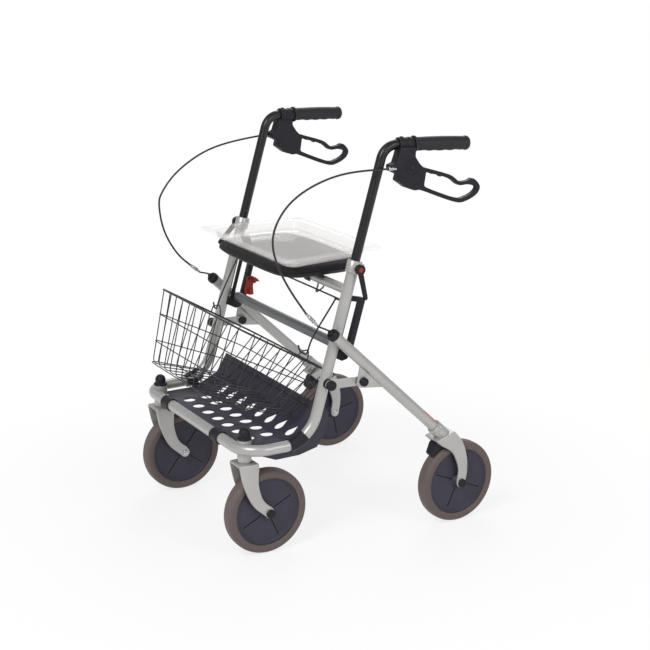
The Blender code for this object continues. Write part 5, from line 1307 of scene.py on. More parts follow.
@dataclass
class Handles(Assembly):
    """Telescoping handles with their grips, brake housings and loop levers."""

    bend_radius: float = 0.04
    inserted: float = 0.2
    grip_start: float = 0.0715
    grip_length: float = 0.1445
    grip_radius: float = 0.0155
    housing_x: float = 0.006
    housing_width: float = 0.028
    pivot: Vector = field(default_factory=lambda: Vector((0.006, 0.064, -0.048)))
    lever_thickness: float = 0.014

    def local(self, obj: Shape) -> Shape:
        """Moves a piece modelled in the handle's own frame to its place."""
        obj.data.transform(self.handle_matrix())
        return obj

    def tube(self) -> Shape:
        """Black tube, bent back at the top."""
        corner = self.upright(self.corner_z, self.upright_x)
        back = (self.handle_matrix().to_3x3() @ Y_AXIS).normalized()
        turn = self.along.angle(back)
        start = corner - self.bend_radius * tan(turn / 2) * self.along
        normal = (back - back.dot(self.along) * self.along).normalized()
        centre = start + self.bend_radius * normal
        line = [self.upright(self.top_z, self.upright_x) - self.inserted * self.along]
        for i in range(29):
            angle = turn * i / 28
            line.append(centre + self.bend_radius * (sin(angle) * self.along - cos(angle) * normal))
        line.append(corner + (self.grip_start + self.grip_length - 0.012) * back)
        return sweep(line, self.handle_radius, 36)

    def grip(self) -> Shape:
        """Grip with a flange, finger waves along its underside and a domed end."""
        length, r = self.grip_length, self.grip_radius
        profile = [(0, 0), (r + 0.0024, 0), (r + 0.0032, 0.0008), (r + 0.0031, 0.004), (r + 0.0018, 0.0062)]
        for i in range(41):
            at = 0.009 + (length - 0.02) * i / 40
            profile.append((r - 0.0008 + 0.0016 * sin(pi * at / length), at))
        profile += [
            (r + 0.0009, length - 0.0085), (r + 0.0004, length - 0.0045), (r - 0.0012, length - 0.0018)
        ]
        profile += [(r - 0.0045, length - 0.0003), (0, length)]
        made = lathe(profile, self.grip_start * Y_AXIS, Y_AXIS, 64)
        for vertex in made.data.vertices:
            x, y, z = vertex.co
            way = hypot(x, z)
            share = (y - self.grip_start - 0.016) / (length - 0.036)
            if way < 1e-6 or not 0 < share < 1 or z > 0:
                continue
            depth = 0.0013 * (-z / way) ** 1.2 * (0.5 - 0.5 * cos(2 * pi * 4 * share))
            vertex.co.x, vertex.co.z = x * (1 - depth / way), z * (1 - depth / way)
        bore = rod(
            (0, 0.05, 0), (0, self.grip_start + length - 0.0117, 0), self.handle_radius + FIT_GAP, 32
        )
        return self.local(cut(made, bore))

    def housing(self) -> Shape:
        """Brake housing: two cheeks, the clamp band with its screw boss, and the cable nose."""
        outline = [
            (0.032, -0.004), (0.07, -0.004), (0.0705, -0.026), (0.083, -0.042), (0.0955, -0.052),
            (0.0975, -0.064), (0.0945, -0.087), (0.0975, -0.0985), (0.073, -0.101), (0.054, -0.095),
            (0.029, -0.079), (0.032, -0.0655), (0.011, -0.057), (0.01, -0.0445), (0.0225, -0.0395),
            (0.027, -0.025),
        ]
        body = rounded(plate(outline, self.housing_x, self.housing_width), 0.0022, 3, 14)
        band = [
            (0, 0), (0.0148, 0), (0.0158, 0.001), (0.016, 0.002), (0.016, 0.0125), (0.0152, 0.0135),
            (0.0152, 0.0245), (0.016, 0.0255), (0.016, 0.036), (0.015, 0.038), (0, 0.038),
        ]
        joined(body, lathe(band, (0, 0.0325, 0), Y_AXIS, 56))
        slot_half = self.lever_thickness / 2 + 0.0006
        y, z = self.pivot.y, self.pivot.z
        slot = [
            (y - 0.019, z + 0.019), (0.12, z + 0.019), (0.12, -0.13), (y - 0.008, -0.13), (y - 0.019, -0.07)
        ]
        bore = rod((0, 0, 0), (0, 0.12, 0), self.handle_radius + FIT_GAP, 40)
        cut(body, bore, plate(slot, self.housing_x, 2 * slot_half))
        screw = rod((0, 0.042, 0.014), (0, 0.042, 0.0172), 0.0042, 24)
        cheek = self.pivot + (self.housing_width / 2 - 0.0002) * X_AXIS
        boss = [(0, 0), (0.0098, 0), (0.0098, 0.0006), (0.009, 0.0012), (0.0084, 0.0006), (0, 0.0006)]
        # The round chamber of the lever shows on the cheek as a thin raised line.
        line = [(0.0164, 0), (0.0178, 0), (0.0176, 0.0008), (0.0166, 0.0008)]
        marks = [lathe(profile, cheek, X_AXIS, count) for profile, count in ((boss, 48), (line, 64))]
        return self.local(joined(body, screw, *marks))

    def barrel_sleeve(self) -> Shape:
        """Bright cable barrel that stands in the housing's nose, with its lock ring."""
        profile = [
            (0, -0.006), (0.003, -0.006), (0.0041, -0.005), (0.0041, 0.001), (0.005, 0.0014),
            (0.005, 0.0042), (0.0041, 0.0046), (0.0041, 0.0125), (0, 0.0125),
        ]
        return self.local(lathe(profile, self.barrel, Y_AXIS, 36))

    def pivot_screw(self) -> Shape:
        """Blacked pivot screw head in the outer cheek."""
        start = self.pivot + (self.housing_width / 2 - 0.001) * X_AXIS
        head = lathe(
            [(0, 0), (0.0046, 0), (0.0046, 0.0019), (0.0038, 0.0026), (0, 0.0028)], start, X_AXIS, 32
        )
        return self.local(head)

    def lever(self) -> Shape:
        """Loop lever: a round root, two arms that meet in a wide band, and a finger hole."""
        outer = [
            (0.07, -0.037), (0.096, -0.05), (0.166, -0.069), (0.193, -0.085), (0.215, -0.0845),
            (0.231, -0.08), (0.249, -0.097), (0.243, -0.115), (0.216, -0.13), (0.185, -0.132),
            (0.106, -0.106), (0.082, -0.099),
        ]
        inner = [
            (0.104, -0.062), (0.164, -0.0775), (0.191, -0.0935), (0.216, -0.093), (0.2385, -0.099),
            (0.234, -0.11), (0.213, -0.1205), (0.186, -0.1225), (0.112, -0.098), (0.101, -0.09),
        ]
        x, thick = self.housing_x, self.lever_thickness
        made = plate(flat_through(outer, 7), x, thick)
        cut(made, plate(flat_through(inner, 7), x, 2 * thick))
        rounded(made, 0.003, 4, 50)
        reach = thick / 2 * X_AXIS
        joined(made, rod(self.pivot - reach, self.pivot + reach, 0.013, 40))
        for y, z in ((0.12, -0.064), (0.142, -0.0705)):
            bump = lathe(
                [
                    (0, -0.0066), (0.0018, -0.0064), (0.0028, -0.0054), (0.0028, 0.0054), (0.0018, 0.0064),
                    (0, 0.0066),
                ],
                (x, y, z), X_AXIS, 24,
            )
            joined(made, bump)
        cut(made, rod(self.pivot - 0.05 * X_AXIS, self.pivot + 0.05 * X_AXIS, 0.0033, 20))
        return self.local(made)

    def build(self) -> None:
        """Builds both handles."""
        body = "handle_{}"
        self.both(self.tube, "bent_handle_tube", body, Finish.HANDLE_BLACK, "handle_tube")
        self.both(self.grip, "hand_grip", body, Finish.GRIP, "grip")
        self.both(self.housing, "brake_body", body, Finish.BLACK_PLASTIC, "brake_housing")
        self.both(self.barrel_sleeve, "cable_barrel", body, Finish.STEEL, None, "bright_steel")
        self.both(self.pivot_screw, "lever_screw", body, Finish.HANDLE_BLACK, None, "handle_black")
        self.both(self.lever, "loop_lever", "brake_lever_{}", Finish.BLACK_PLASTIC, "brake_lever")


@dataclass
class Wheels(Assembly):
    """Four wheels, the caster forks in front and the fixed forks behind."""

    radius: float = 0.1
    width: float = 0.036
    hub_radius: float = 0.08
    axle_bore: float = 0.0043
    fork_half: float = 0.0267
    fork_gap: float = 0.0042
    fork_top: float = 0.2266
    axles: dict[str, Vector] = field(
        default_factory=lambda: {
            "front": Vector((0.221, -0.2397, 0.1)), "rear": Vector((0.289, 0.2397, 0.1))
        }
    )
    turns: dict[tuple[str, Side], float] = field(
        default_factory=lambda: {
            ("front", Side.LEFT): radians(24.5), ("front", Side.RIGHT): radians(52),
            ("rear", Side.LEFT): radians(66), ("rear", Side.RIGHT): radians(12),
        }
    )

    def tyre(self) -> Shape:
        """Tyre at the origin, its tread a soft curve with a fine moulding line each side."""
        half, r = self.width / 2, self.radius
        right = [
            (self.hub_radius + FIT_GAP, half - 0.0026), (0.083, half - 0.001), (0.0862, half), (0.09, half),
            (r - 0.0062, half - 0.0006), (r - 0.0042, half - 0.0018), (r - 0.0039, half - 0.0024),
            (r - 0.002, half - 0.0044), (r - 0.0008, half - 0.007), (r - 0.0002, half - 0.01),
            (r, half - 0.013),
        ]
        profile = right + [(x, -at) for x, at in reversed(right)]
        return lathe(profile, (0, 0, 0), X_AXIS, 112)

    def hub(self) -> Shape:
        """Disc hub at the origin, before its grooves: boss, recessed web and rim."""
        half, r, web = self.width / 2, self.hub_radius, 0.0105
        right = [
            (self.axle_bore, half + 0.0025), (0.0128, half + 0.0025), (0.014, half + 0.0012),
            (0.0152, web + 0.002), (0.0172, web), (0.03, web - 0.0004), (r - 0.01, web),
            (r - 0.0072, web + 0.0006), (r - 0.0058, half - 0.0058), (r - 0.0046, half - 0.0045),
            (r - 0.0008, half - 0.0045), (r, half - 0.0052),
        ]
        return lathe(right + [(x, -at) for x, at in reversed(right)], (0, 0, 0), X_AXIS, 112)

    def grooved_hub(self) -> Shape:
        """Hub with four thin radial grooves in each face, cut by a Geometry Nodes tree."""
        tree, named = groove_tree()
        blade = [(0.0185, -0.0014), (0.068, -0.0012), (0.068, 0.0012), (0.0185, 0.0014)]
        cutter = joined(*(plate(blade, side.value * 0.0105, 0.0064) for side in Side))
        hub = self.hub()
        values = {"Cutter": cutter, "Grooves": 4, "First Angle": 0.0, "Finish": Finish.HUB.value.material()}
        run_tree(hub, tree, named, values)
        bpy.data.objects.remove(cutter)
        return hub

    def bolt(self) -> Shape:
        """Axle bolt at the origin: shank, washers and bright domed heads."""
        reach = self.fork_half + 0.0003
        half = [
            (0.004, 0.0), (0.004, reach), (0.0082, reach), (0.0082, reach + 0.0008),
            (0.0072, reach + 0.0009),
        ]
        half += [
            (0.007 * cos(i / 8 * pi / 2), reach + 0.0012 + 0.0028 * sin(i / 8 * pi / 2)) for i in range(9)
        ]
        profile = [(r, -at) for r, at in reversed(half)] + half[1:]
        profile[0], profile[-1] = (0.0, profile[0][1]), (0.0, profile[-1][1])
        return lathe(profile, (0, 0, 0), X_AXIS, 40)

    def axle_cap(self, axle: Vector) -> Shape:
        """Black push-on cap over the axle's outer end, on the left side."""
        start = self.fork_half + 0.0006
        profile = [
            (0, start), (0.01, start), (0.0106, start + 0.0006), (0.0106, start + 0.0034),
            (0.0098, start + 0.0044), (0.007, start + 0.0048), (0.0062, start + 0.004), (0, start + 0.004),
        ]
        return lathe(profile, axle, X_AXIS, 44)

    def caster_fork(self) -> Shape:
        """Left caster fork: thrust washer, top plate with a bolt recess, two swept arms."""
        axle = self.axles["front"]
        front = flat_through(
            [(-0.076, 0.1226), (-0.068, 0.0838), (-0.056, 0.0494), (-0.0396, 0.0218), (-0.013, -0.0035)], 7
        )
        tip = arc((0, 0), 0.012, radians(-140), radians(40), 16)
        rear = flat_through(
            [(0.0045, 0.015), (-0.01, 0.027), (-0.0215, 0.0458), (-0.0288, 0.0795), (-0.0268, 0.115)], 7
        )
        top = self.fork_top - axle.z
        outline = [*front, *tip[1:], *rear, (-0.0285, top), (-0.074, top)]
        made = rounded(plate(shifted(outline, axle), self.swivel.x, 2 * self.fork_half), 0.0026, 4, 55)
        inner = self.width / 2 + self.fork_gap
        room = oblong(-0.12, 0.05, -0.08, top - 0.0042)
        cut(made, plate(shifted(room, axle), self.swivel.x, 2 * inner))
        cut(made, rod((0.16, axle.y, axle.z), (0.28, axle.y, axle.z), self.axle_bore, 32))
        washer = [
            (0, self.fork_top - 0.002), (0.0135, self.fork_top - 0.002), (0.0135, self.fork_top + 0.0016),
            (0.0128, 0.2289), (0.006, 0.2289), (0.006, 0.2725), (0, 0.2725),
        ]
        joined(made, lathe(washer, self.swivel, Z_AXIS, 40))
        recess = lathe(
            [(0, -0.01), (0.007, -0.01), (0.007, 0.01), (0, 0.01)],
            (self.swivel.x, self.swivel.y + 0.0205, self.fork_top), Z_AXIS, 32,
        )
        recess.data.transform(Matrix.Translation((0, 0, 0.008)))
        return cut(made, recess)

    def rear_fork(self) -> Shape:
        """Left rear fork: collar on the leg, a bridge over the tyre and two arms."""
        axle = self.axles["rear"]
        outer = flat_through(
            [(-0.023, 0.134), (0.002, 0.102), (0.015, 0.061), (0.016, 0.024), (0.0118, 0.0035)], 8
        )
        tip = arc((0, 0), 0.012, radians(10), radians(-190), 18)
        inner = flat_through([(-0.0118, 0.01), (-0.0095, 0.0385), (-0.027, 0.08), (-0.06, 0.104)], 8)
        outline = [*outer, *tip, *inner, (-0.074, 0.118)]
        made = rounded(plate(shifted(outline, axle), axle.x, 2 * self.fork_half), 0.0026, 4, 50)
        half = self.width / 2 + self.fork_gap
        cut(
            made,
            rod(
                (axle.x - half, axle.y, axle.z), (axle.x + half, axle.y, axle.z), self.radius + 0.0075, 112
            ),
        )
        start, end = self.leg_point(0.316, 0, self.leg_x), self.leg_point(0.358, 0, self.leg_x)
        outside, length = self.tube_radius + self.collar_wall, (end - start).length
        collar = [
            (0, 0), (outside - 0.002, 0), (outside - 0.0006, 0.0006), (outside, 0.002), (outside, 0.008),
            (outside - 0.0007, 0.0088), (outside - 0.0007, 0.01), (outside, 0.0108), (outside, length),
            (0, length),
        ]
        joined(made, lathe(collar, start, self.leg_down, 48))
        seat = self.leg_point(0.3253, 0, self.leg_x)
        cut(made, rod(start - 0.05 * self.leg_down, seat, self.tube_radius + FIT_GAP, 40))
        way, gap = radians(126), 0.0043
        ring = arc((0, 0), self.radius, way - 0.16 - gap * 10, way + 0.16 + gap * 10, 12)
        ring += arc((0, 0), self.radius + 0.027 + gap, way + 0.13 + gap * 10, way - 0.13 - gap * 10, 8)
        cut(made, plate(shifted(ring, axle), axle.x, 0.0248))
        return cut(made, rod((0.23, axle.y, axle.z), (0.35, axle.y, axle.z), self.axle_bore, 32))

    def shoe(self) -> Shape:
        """Left brake shoe, its free end thinned to a wedge over the tread."""
        block, axle = refined("brake_shoe_left", 0.001), self.axles["rear"]
        edge = [
            (self.radius + r, radians(a))
            for r, a in ((0.008, 140), (0.03, 121), (0.052, 121), (0.052, 150), (0.008, 150))
        ]
        above = [(r * cos(a), r * sin(a)) for r, a in edge]
        return cut(block, plate(shifted(above, axle), axle.x, 0.06))

    def leg_screw(self) -> Shape:
        """Round head of the screw that holds the fork's collar to the leg."""
        out = Vector((0.9, 0.0, 0.0)) + 0.44 * Vector((0, sin(self.leg_slope), cos(self.leg_slope)))
        place = self.leg_point(0.326, 0, self.leg_x) + (self.tube_radius + 0.0038) * out.normalized()
        return lathe([(0, 0), (0.004, 0), (0.0038, 0.0012), (0.0024, 0.002), (0, 0.0022)], place, out, 28)

    def build(self) -> None:
        """Builds the forks and the four wheels."""
        self.both(self.caster_fork, "swivel_fork", "caster_{}", Finish.FRAME_PAINT, "caster_fork")
        self.both(self.rear_fork, "wheel_fork", "rear_frame", Finish.FRAME_PAINT, "rear_fork")
        self.both(self.leg_screw, "collar_screw", "rear_frame", Finish.STEEL, None, "bright_steel")
        self.both(self.shoe, "shoe_block", "brake_shoe_{}", Finish.BLACK_PLASTIC, "brake_shoe")
        tyre, hub, bolt = self.tyre(), self.grooved_hub(), self.bolt()
        for end, axle in self.axles.items():
            rides = "caster_{}" if end == "front" else "rear_frame"
            self.both(
                lambda axle=axle: self.axle_cap(axle), f"{end}_axle_cap", rides, Finish.BLACK_PLASTIC, None,
                "black_plastic",
            )
            for side in Side:
                name = f"{end}_{{}}_{side.label}"
                turn = Matrix.Rotation(self.turns[end, side], 4, "X")
                holds = f"caster_{side.label}" if end == "front" else "rear_frame"
                rows = (
                    (tyre, "tyre", Finish.TYRE), (hub, "hub", Finish.HUB), (bolt, "axle_bolt", Finish.STEEL)
                )
                for shape, kind, finish in rows:
                    mesh = shape.data.copy()
                    mesh.transform(Matrix.Translation((side.value * axle.x, axle.y, axle.z)) @ turn)
                    piece = linked("wheel", mesh)
                    body = holds if kind == "axle_bolt" else f"{end}_wheel_{side.label}"
                    self.seat_piece(piece, f"round_{name.format(kind)}", body, finish, [name.format(kind)])
        for shape in (tyre, hub, bolt):
            bpy.data.objects.remove(shape)


@dataclass
class RearFrame(Assembly):
    """Rear legs with their gussets and caps, the grooved cross tube, and the fold links."""

    ahead: float = 0.056
    behind_length: float = 0.325
    fold_bar_radius: float = 0.012
    cross_half: float = 0.244
    link_x: float = 0.2875

    def leg(self) -> Shape:
        """Left leg with the gusset plate welded under it."""
        made = rod(
            self.leg_point(-self.ahead, 0, self.leg_x), self.leg_point(self.behind_length, 0, self.leg_x),
            self.tube_radius, 44,
        )
        start, low, pivot = self.leg_point(0.04, 0.004), self.leg_point(0.138, 0.006), self.gusset_pivot
        first = atan2(start.z - pivot.z, start.y - pivot.y) + radians(62)
        nose = arc((pivot.y, pivot.z), 0.015, first, radians(272), 24)
        gusset = plate([(start.y, start.z), *nose, (low.y, low.z)], self.leg_x, 0.004)
        return joined(made, rounded(gusset, 0.0007, 2, 40))

    def cap(self) -> Shape:
        """Black end plug of the leg's front end: flange, dark recess and the cable's nipple."""
        r = self.tube_radius
        profile = [
            (0, 0.0003), (r + 0.0008, 0.0003), (r + 0.001, 0.001), (r + 0.001, 0.0092),
            (r + 0.0004, 0.0106), (r - 0.0012, 0.0138), (r - 0.0024, 0.0144), (r - 0.0034, 0.014),
            (r - 0.004, 0.0124), (0.0072, 0.0124), (0.0064, 0.015), (0.0056, 0.0196), (0.005, 0.0205),
            (0, 0.0205),
        ]
        return lathe(profile, self.leg_point(-self.ahead, 0, self.leg_x), -self.leg_down, 48)

    def cross_tube(self) -> Shape:
        """Extruded cross tube with four lengthwise grooves, and its pins."""
        r, grooves = self.fold_bar_radius, [radians(a) for a in (110, 142, 174, 206)]
        outline = []
        for i in range(240):
            angle = 2 * pi * i / 240
            near = min(abs((angle - g + pi) % (2 * pi) - pi) for g in grooves)
            deep = 0.0011 * exp(-((near / radians(3.4)) ** 4))
            outline.append(((r - deep) * cos(angle), (r - deep) * sin(angle)))
        made = plate(shifted(outline, self.slot_pin), 0.0, 2 * self.cross_half)
        for side in Side:
            x = side.value * self.cross_half
            ends = [
                Vector((x + side.value * at, self.slot_pin.y, self.slot_pin.z)) for at in (-0.004, 0.0517)
            ]
            joined(made, rod(ends[0], ends[1], 0.0065, 36))
        return made

    def link(self) -> Shape:
        """Left fold link, a flat bar with round ends."""
        start, end = self.upright(self.fold_z), self.gusset_pivot
        way = atan2(end.z - start.z, end.y - start.y)
        outline = arc((start.y, start.z), 0.0105, way + pi / 2, way + 3 * pi / 2, 24)
        outline += arc((end.y, end.z), 0.0105, way - pi / 2, way + pi / 2, 24)
        return rounded(plate(outline, self.link_x, 0.004), 0.0008, 3, 40)

    def knob(
        self, pivot: Vector, start: float, inner: tuple[float, float], outer: tuple[float, float, float]
    ) -> Shape:
        """Pivot pin with an inner collar and a ringed round cap.

        Args:
            pivot: The pin's axis.
            start: Where the pin starts on X.
            inner: The inner collar's end on X and its radius.
            outer: The cap's start and end on X and its radius.

        Returns:
            The pin.
        """
        first, last, r = outer
        profile = [
            (0, start), (inner[1], start), (inner[1], inner[0]), (0.0037, inner[0]), (0.0037, first),
            (r - 0.0008, first), (r, first + 0.001), (r, last - 0.0046), (r - 0.0006, last - 0.004),
            (r - 0.0006, last - 0.003), (r - 0.0002, last - 0.0024), (r - 0.0012, last - 0.0008),
            (r - 0.003, last - 0.0002), (r - 0.0036, last - 0.0007), (r - 0.0048, last - 0.0007),
            (r - 0.0052, last), (0, last),
        ]
        return lathe(profile, (0, pivot.y, pivot.z), X_AXIS, 48)

    def film(self) -> Shape:
        """Plain narrow red film along the near leg's upper outer side, with nothing on it."""
        up = Vector((0.0, sin(self.leg_slope), cos(self.leg_slope)))
        bm = bmesh.new()
        shell = []
        for lift in (0.00005, 0.00035):
            for down in (0.264, 0.314):
                for i in range(9):
                    turn = radians(44 + 24 * i / 8)
                    out = cos(turn) * X_AXIS + sin(turn) * up
                    shell.append(
                        bm.verts.new(self.leg_point(down, 0, self.leg_x) + (self.tube_radius + lift) * out)
                    )
        inner_top, inner_low, outer_top, outer_low = (shell[9 * k : 9 * k + 9] for k in range(4))
        for i in range(8):
            bm.faces.new((outer_top[i], outer_top[i + 1], outer_low[i + 1], outer_low[i]))
            bm.faces.new((inner_low[i], inner_low[i + 1], inner_top[i + 1], inner_top[i]))
            bm.faces.new((inner_top[i], inner_top[i + 1], outer_top[i + 1], outer_top[i]))
            bm.faces.new((outer_low[i], outer_low[i + 1], inner_low[i + 1], inner_low[i]))
        for k in (0, 8):
            bm.faces.new((inner_top[k], outer_top[k], outer_low[k], inner_low[k]))
        return mesh_object(bm)

    def build(self) -> None:
        """Builds the rear frame and the links."""
        body = "rear_frame"
        self.both(self.leg, "sloping_leg", body, Finish.FRAME_PAINT, "rear_leg")
        self.both(self.cap, "leg_end_plug", body, Finish.BLACK_PLASTIC, "leg_cap")
        self.seat_piece(
            self.cross_tube(), "grooved_cross_tube", body, Finish.CROSS_TUBE, ["rear_cross_tube"]
        )
        self.both(self.link, "folding_link", "fold_links", Finish.FRAME_PAINT, "fold_link")
        wall, pin = self.upright_x + self.tube_radius, self.upright(self.fold_z)
        self.both(
            lambda: self.knob(pin, wall + FIT_GAP, (0.2852, 0.0115), (0.2898, 0.3013, 0.0115)),
            "upright_knob", "front_frame", Finish.BLACK_PLASTIC, "upright_pivot_pin",
        )
        self.both(
            lambda: self.knob(self.gusset_pivot, 0.28, (0.2852, 0.01), (0.2963, 0.3068, 0.01)),
            "gusset_knob", body, Finish.BLACK_PLASTIC, "gusset_pivot_pin",
        )
        self.seat_piece(self.film(), "leg_film", body, Finish.RED_FILM, slot="latch_red")


@dataclass
class KerbShelf(Assembly):
    """Pierced plastic shelf between the front tubes: deck, ramp, rear lip, cheeks and clips."""

    half_width: float = 0.2385
    sheet: float = 0.0032
    deck_z: float = 0.252
    fold_y: float = -0.183
    ramp_top: tuple[float, float] = (-0.129, 0.28)
    hole_radius: float = 0.0148
    hole_pitch: tuple[float, float] = (0.051, 0.047)
    drop_pitch: float = 0.049

    def ribbon(self, line: Outline) -> Outline:
        """Outline of a sheet of even thickness along a (y, z) line."""
        upper, lower = [], []
        for i, (y, z) in enumerate(line):
            before, after = line[max(i - 1, 0)], line[min(i + 1, len(line) - 1)]
            way = Vector((after[0] - before[0], after[1] - before[1])).normalized() * self.sheet / 2
            upper.append((y - way.y, z + way.x))
            lower.append((y + way.y, z - way.x))
        return upper + lower[::-1]

    def drop(self, slope: float, middle: tuple[float, float]) -> Shape:
        """Cutter of a drop-shaped hole at x = 0, its point up the ramp."""
        r = 0.0125
        points = [(r * cos(a), r * sin(a) - 0.005) for a in (radians(-210 + 12 * i) for i in range(21))]
        bm = bmesh.new()
        face = bm.faces.new(
            [
                bm.verts.new((x, y, -0.01))
                for x, y in [*points, (0.0012, 0.0205), (0.0, 0.021), (-0.0012, 0.0205)]
            ]
        )
        grown = bmesh.ops.extrude_face_region(bm, geom=[face])["geom"]
        bmesh.ops.translate(
            bm, vec=(0, 0, 0.02), verts=[g for g in grown if isinstance(g, bmesh.types.BMVert)]
        )
        turn = Matrix.Translation((0, *middle)) @ Matrix.Rotation(slope, 4, "X")
        bmesh.ops.transform(bm, matrix=turn, verts=bm.verts)
        return mesh_object(bm)

    def pierced(
        self, sheet: Shape, cutter: Shape, grid: tuple[int, int], pitch: tuple[float, float],
        middle: Sequence[float],
    ) -> None:
        """Pierces the sheet with a grid of one cutter through the Geometry Nodes tree.

        Args:
            sheet: The shelf.
            cutter: The cutter, made about its own place.
            grid: Columns and rows.
            pitch: Column and row pitch.
            middle: The grid's middle, from the cutter's place.
        """
        tree, named = pierce_tree()
        values = {
            "Cutter": cutter, "Columns": grid[0], "Rows": grid[1], "Column Pitch": pitch[0],
            "Row Pitch": pitch[1],
        }
        values |= {"Middle": middle, "Finish": Finish.SHELF.value.material()}
        run_tree(sheet, tree, named, values)
        bpy.data.objects.remove(cutter)

    def clips(self) -> Shape:
        """Left half's snap rings: one on the front tube, one on the bend of the side tube."""
        outer, inner = self.tube_radius + 0.0032, self.tube_radius + FIT_GAP
        profile = [
            (inner, -0.018), (outer - 0.0008, -0.018), (outer, -0.0172), (outer, -0.013),
            (outer - 0.0008, -0.012), (outer - 0.0008, 0.012), (outer, 0.013), (outer, 0.0172),
            (outer - 0.0008, 0.018), (inner, 0.018),
        ]
        ring = lathe(profile, (0.13, self.loop_front_y, self.loop_z), X_AXIS, 56)
        y, z = self.loop_front_y, self.loop_z
        cut(ring, plate(oblong(y - 0.005, y + 0.003, z - 0.03, z), 0.13, 0.06))
        half = self.sheet / 2 - 0.0003
        low, high = self.deck_z - half, self.deck_z + half
        joined(ring, plate(oblong(y + 0.0102, y + 0.0227, low, high), 0.13, 0.032))
        bend = self.loop_bend
        tangent = bend * tan((pi / 2 - self.lean) / 2)
        middle = (self.meets_y - tangent, self.loop_z + bend)
        share = (pi / 2 - self.lean) / 5

        def stretch(first: float, last: float) -> list[Vector]:
            """Points of the bend's line between two fifths of it."""
            angles = (-pi / 2 + share * (first + (last - first) * i / 14) for i in range(15))
            return [
                Vector((self.upright_x, middle[0] + bend * cos(a), middle[1] + bend * sin(a)))
                for a in angles
            ]

        band = sweep(stretch(0.5, 2.5), self.tube_radius + 0.0034, 44)
        at = stretch(1.5, 1.5)[0]
        lug = plate(
            oblong(at.y - 0.01, at.y + 0.01, self.deck_z - 0.0025, at.z - 0.01),
            (self.half_width + self.upright_x - 0.0055) / 2, self.upright_x - 0.0025 - self.half_width,
        )
        joined(band, lug)
        mouth = oblong(at.y - 0.06, at.y + 0.06, at.z + 0.0023, at.z + 0.06)
        cut(
            band, sweep(stretch(-0.2, 3.5), self.tube_radius + FIT_GAP, 44),
            plate(mouth, self.upright_x - 0.01915, 0.0237),
        )
        return joined(ring, band)

    def build(self) -> None:
        """Builds the shelf."""
        front = self.loop_front_y + self.tube_radius + 0.004
        fold, top, z = self.fold_y, self.ramp_top, self.deck_z
        line = [
            (front, z), (fold - 0.008, z), (fold - 0.004, z + 0.0004), (fold, z + 0.0015), top,
            (-0.1258, 0.2829), (-0.123, 0.2868), (-0.098, 0.327),
        ]
        shelf = plate(self.ribbon(line), 0.0, 2 * self.half_width)
        cheek = [
            (-0.0935, 0.3235), (-0.0832, 0.311), (-0.0858, 0.294), (-0.0988, 0.2553), (-0.1143, 0.2336),
            (-0.16, 0.223), (-0.2208, 0.223), (-0.256, 0.238), (-0.26, 0.2515), (fold, 0.253),
            (-0.129, 0.2795), (-0.1, 0.324),
        ]
        for side in Side:
            joined(
                shelf, rounded(plate(cheek, side.value * (self.half_width - 0.0012), 0.003), 0.0006, 2, 40)
            )
        slope = atan2(top[1] - z - 0.0015, top[0] - fold)
        middle = ((fold + top[0]) / 2, (z + 0.0015 + top[1]) / 2)
        hole = rod((0, 0, -0.01), (0, 0, 0.01), self.hole_radius, 36)
        self.pierced(shelf, hole, (7, 2), self.hole_pitch, (0.0, -0.2215, z))
        self.pierced(shelf, self.drop(slope, middle), (9, 1), (self.drop_pitch, 0.0), (0.0, 0.0, 0.0))
        for side in Side:
            corner = side.value * self.half_width
            x = corner + side.value * 0.009
            notch = oblong(front - 0.01, -0.2788, 0.24, 0.27)
            boss = Vector((side.value * self.swivel.x, self.swivel.y, 0))
            cut(shelf, rod(boss + 0.22 * Z_AXIS, boss + 0.29 * Z_AXIS, 0.02, 40), plate(notch, x, 0.042))
        rounded(shelf, 0.0005, 2, 50)
        self.seat_piece(shelf, "kerb_shelf", "front_frame", Finish.SHELF, ["lower_shelf"])
        self.both(self.clips, "tube_clips", "front_frame", Finish.BLACK_PLASTIC, None, "shelf_plastic")


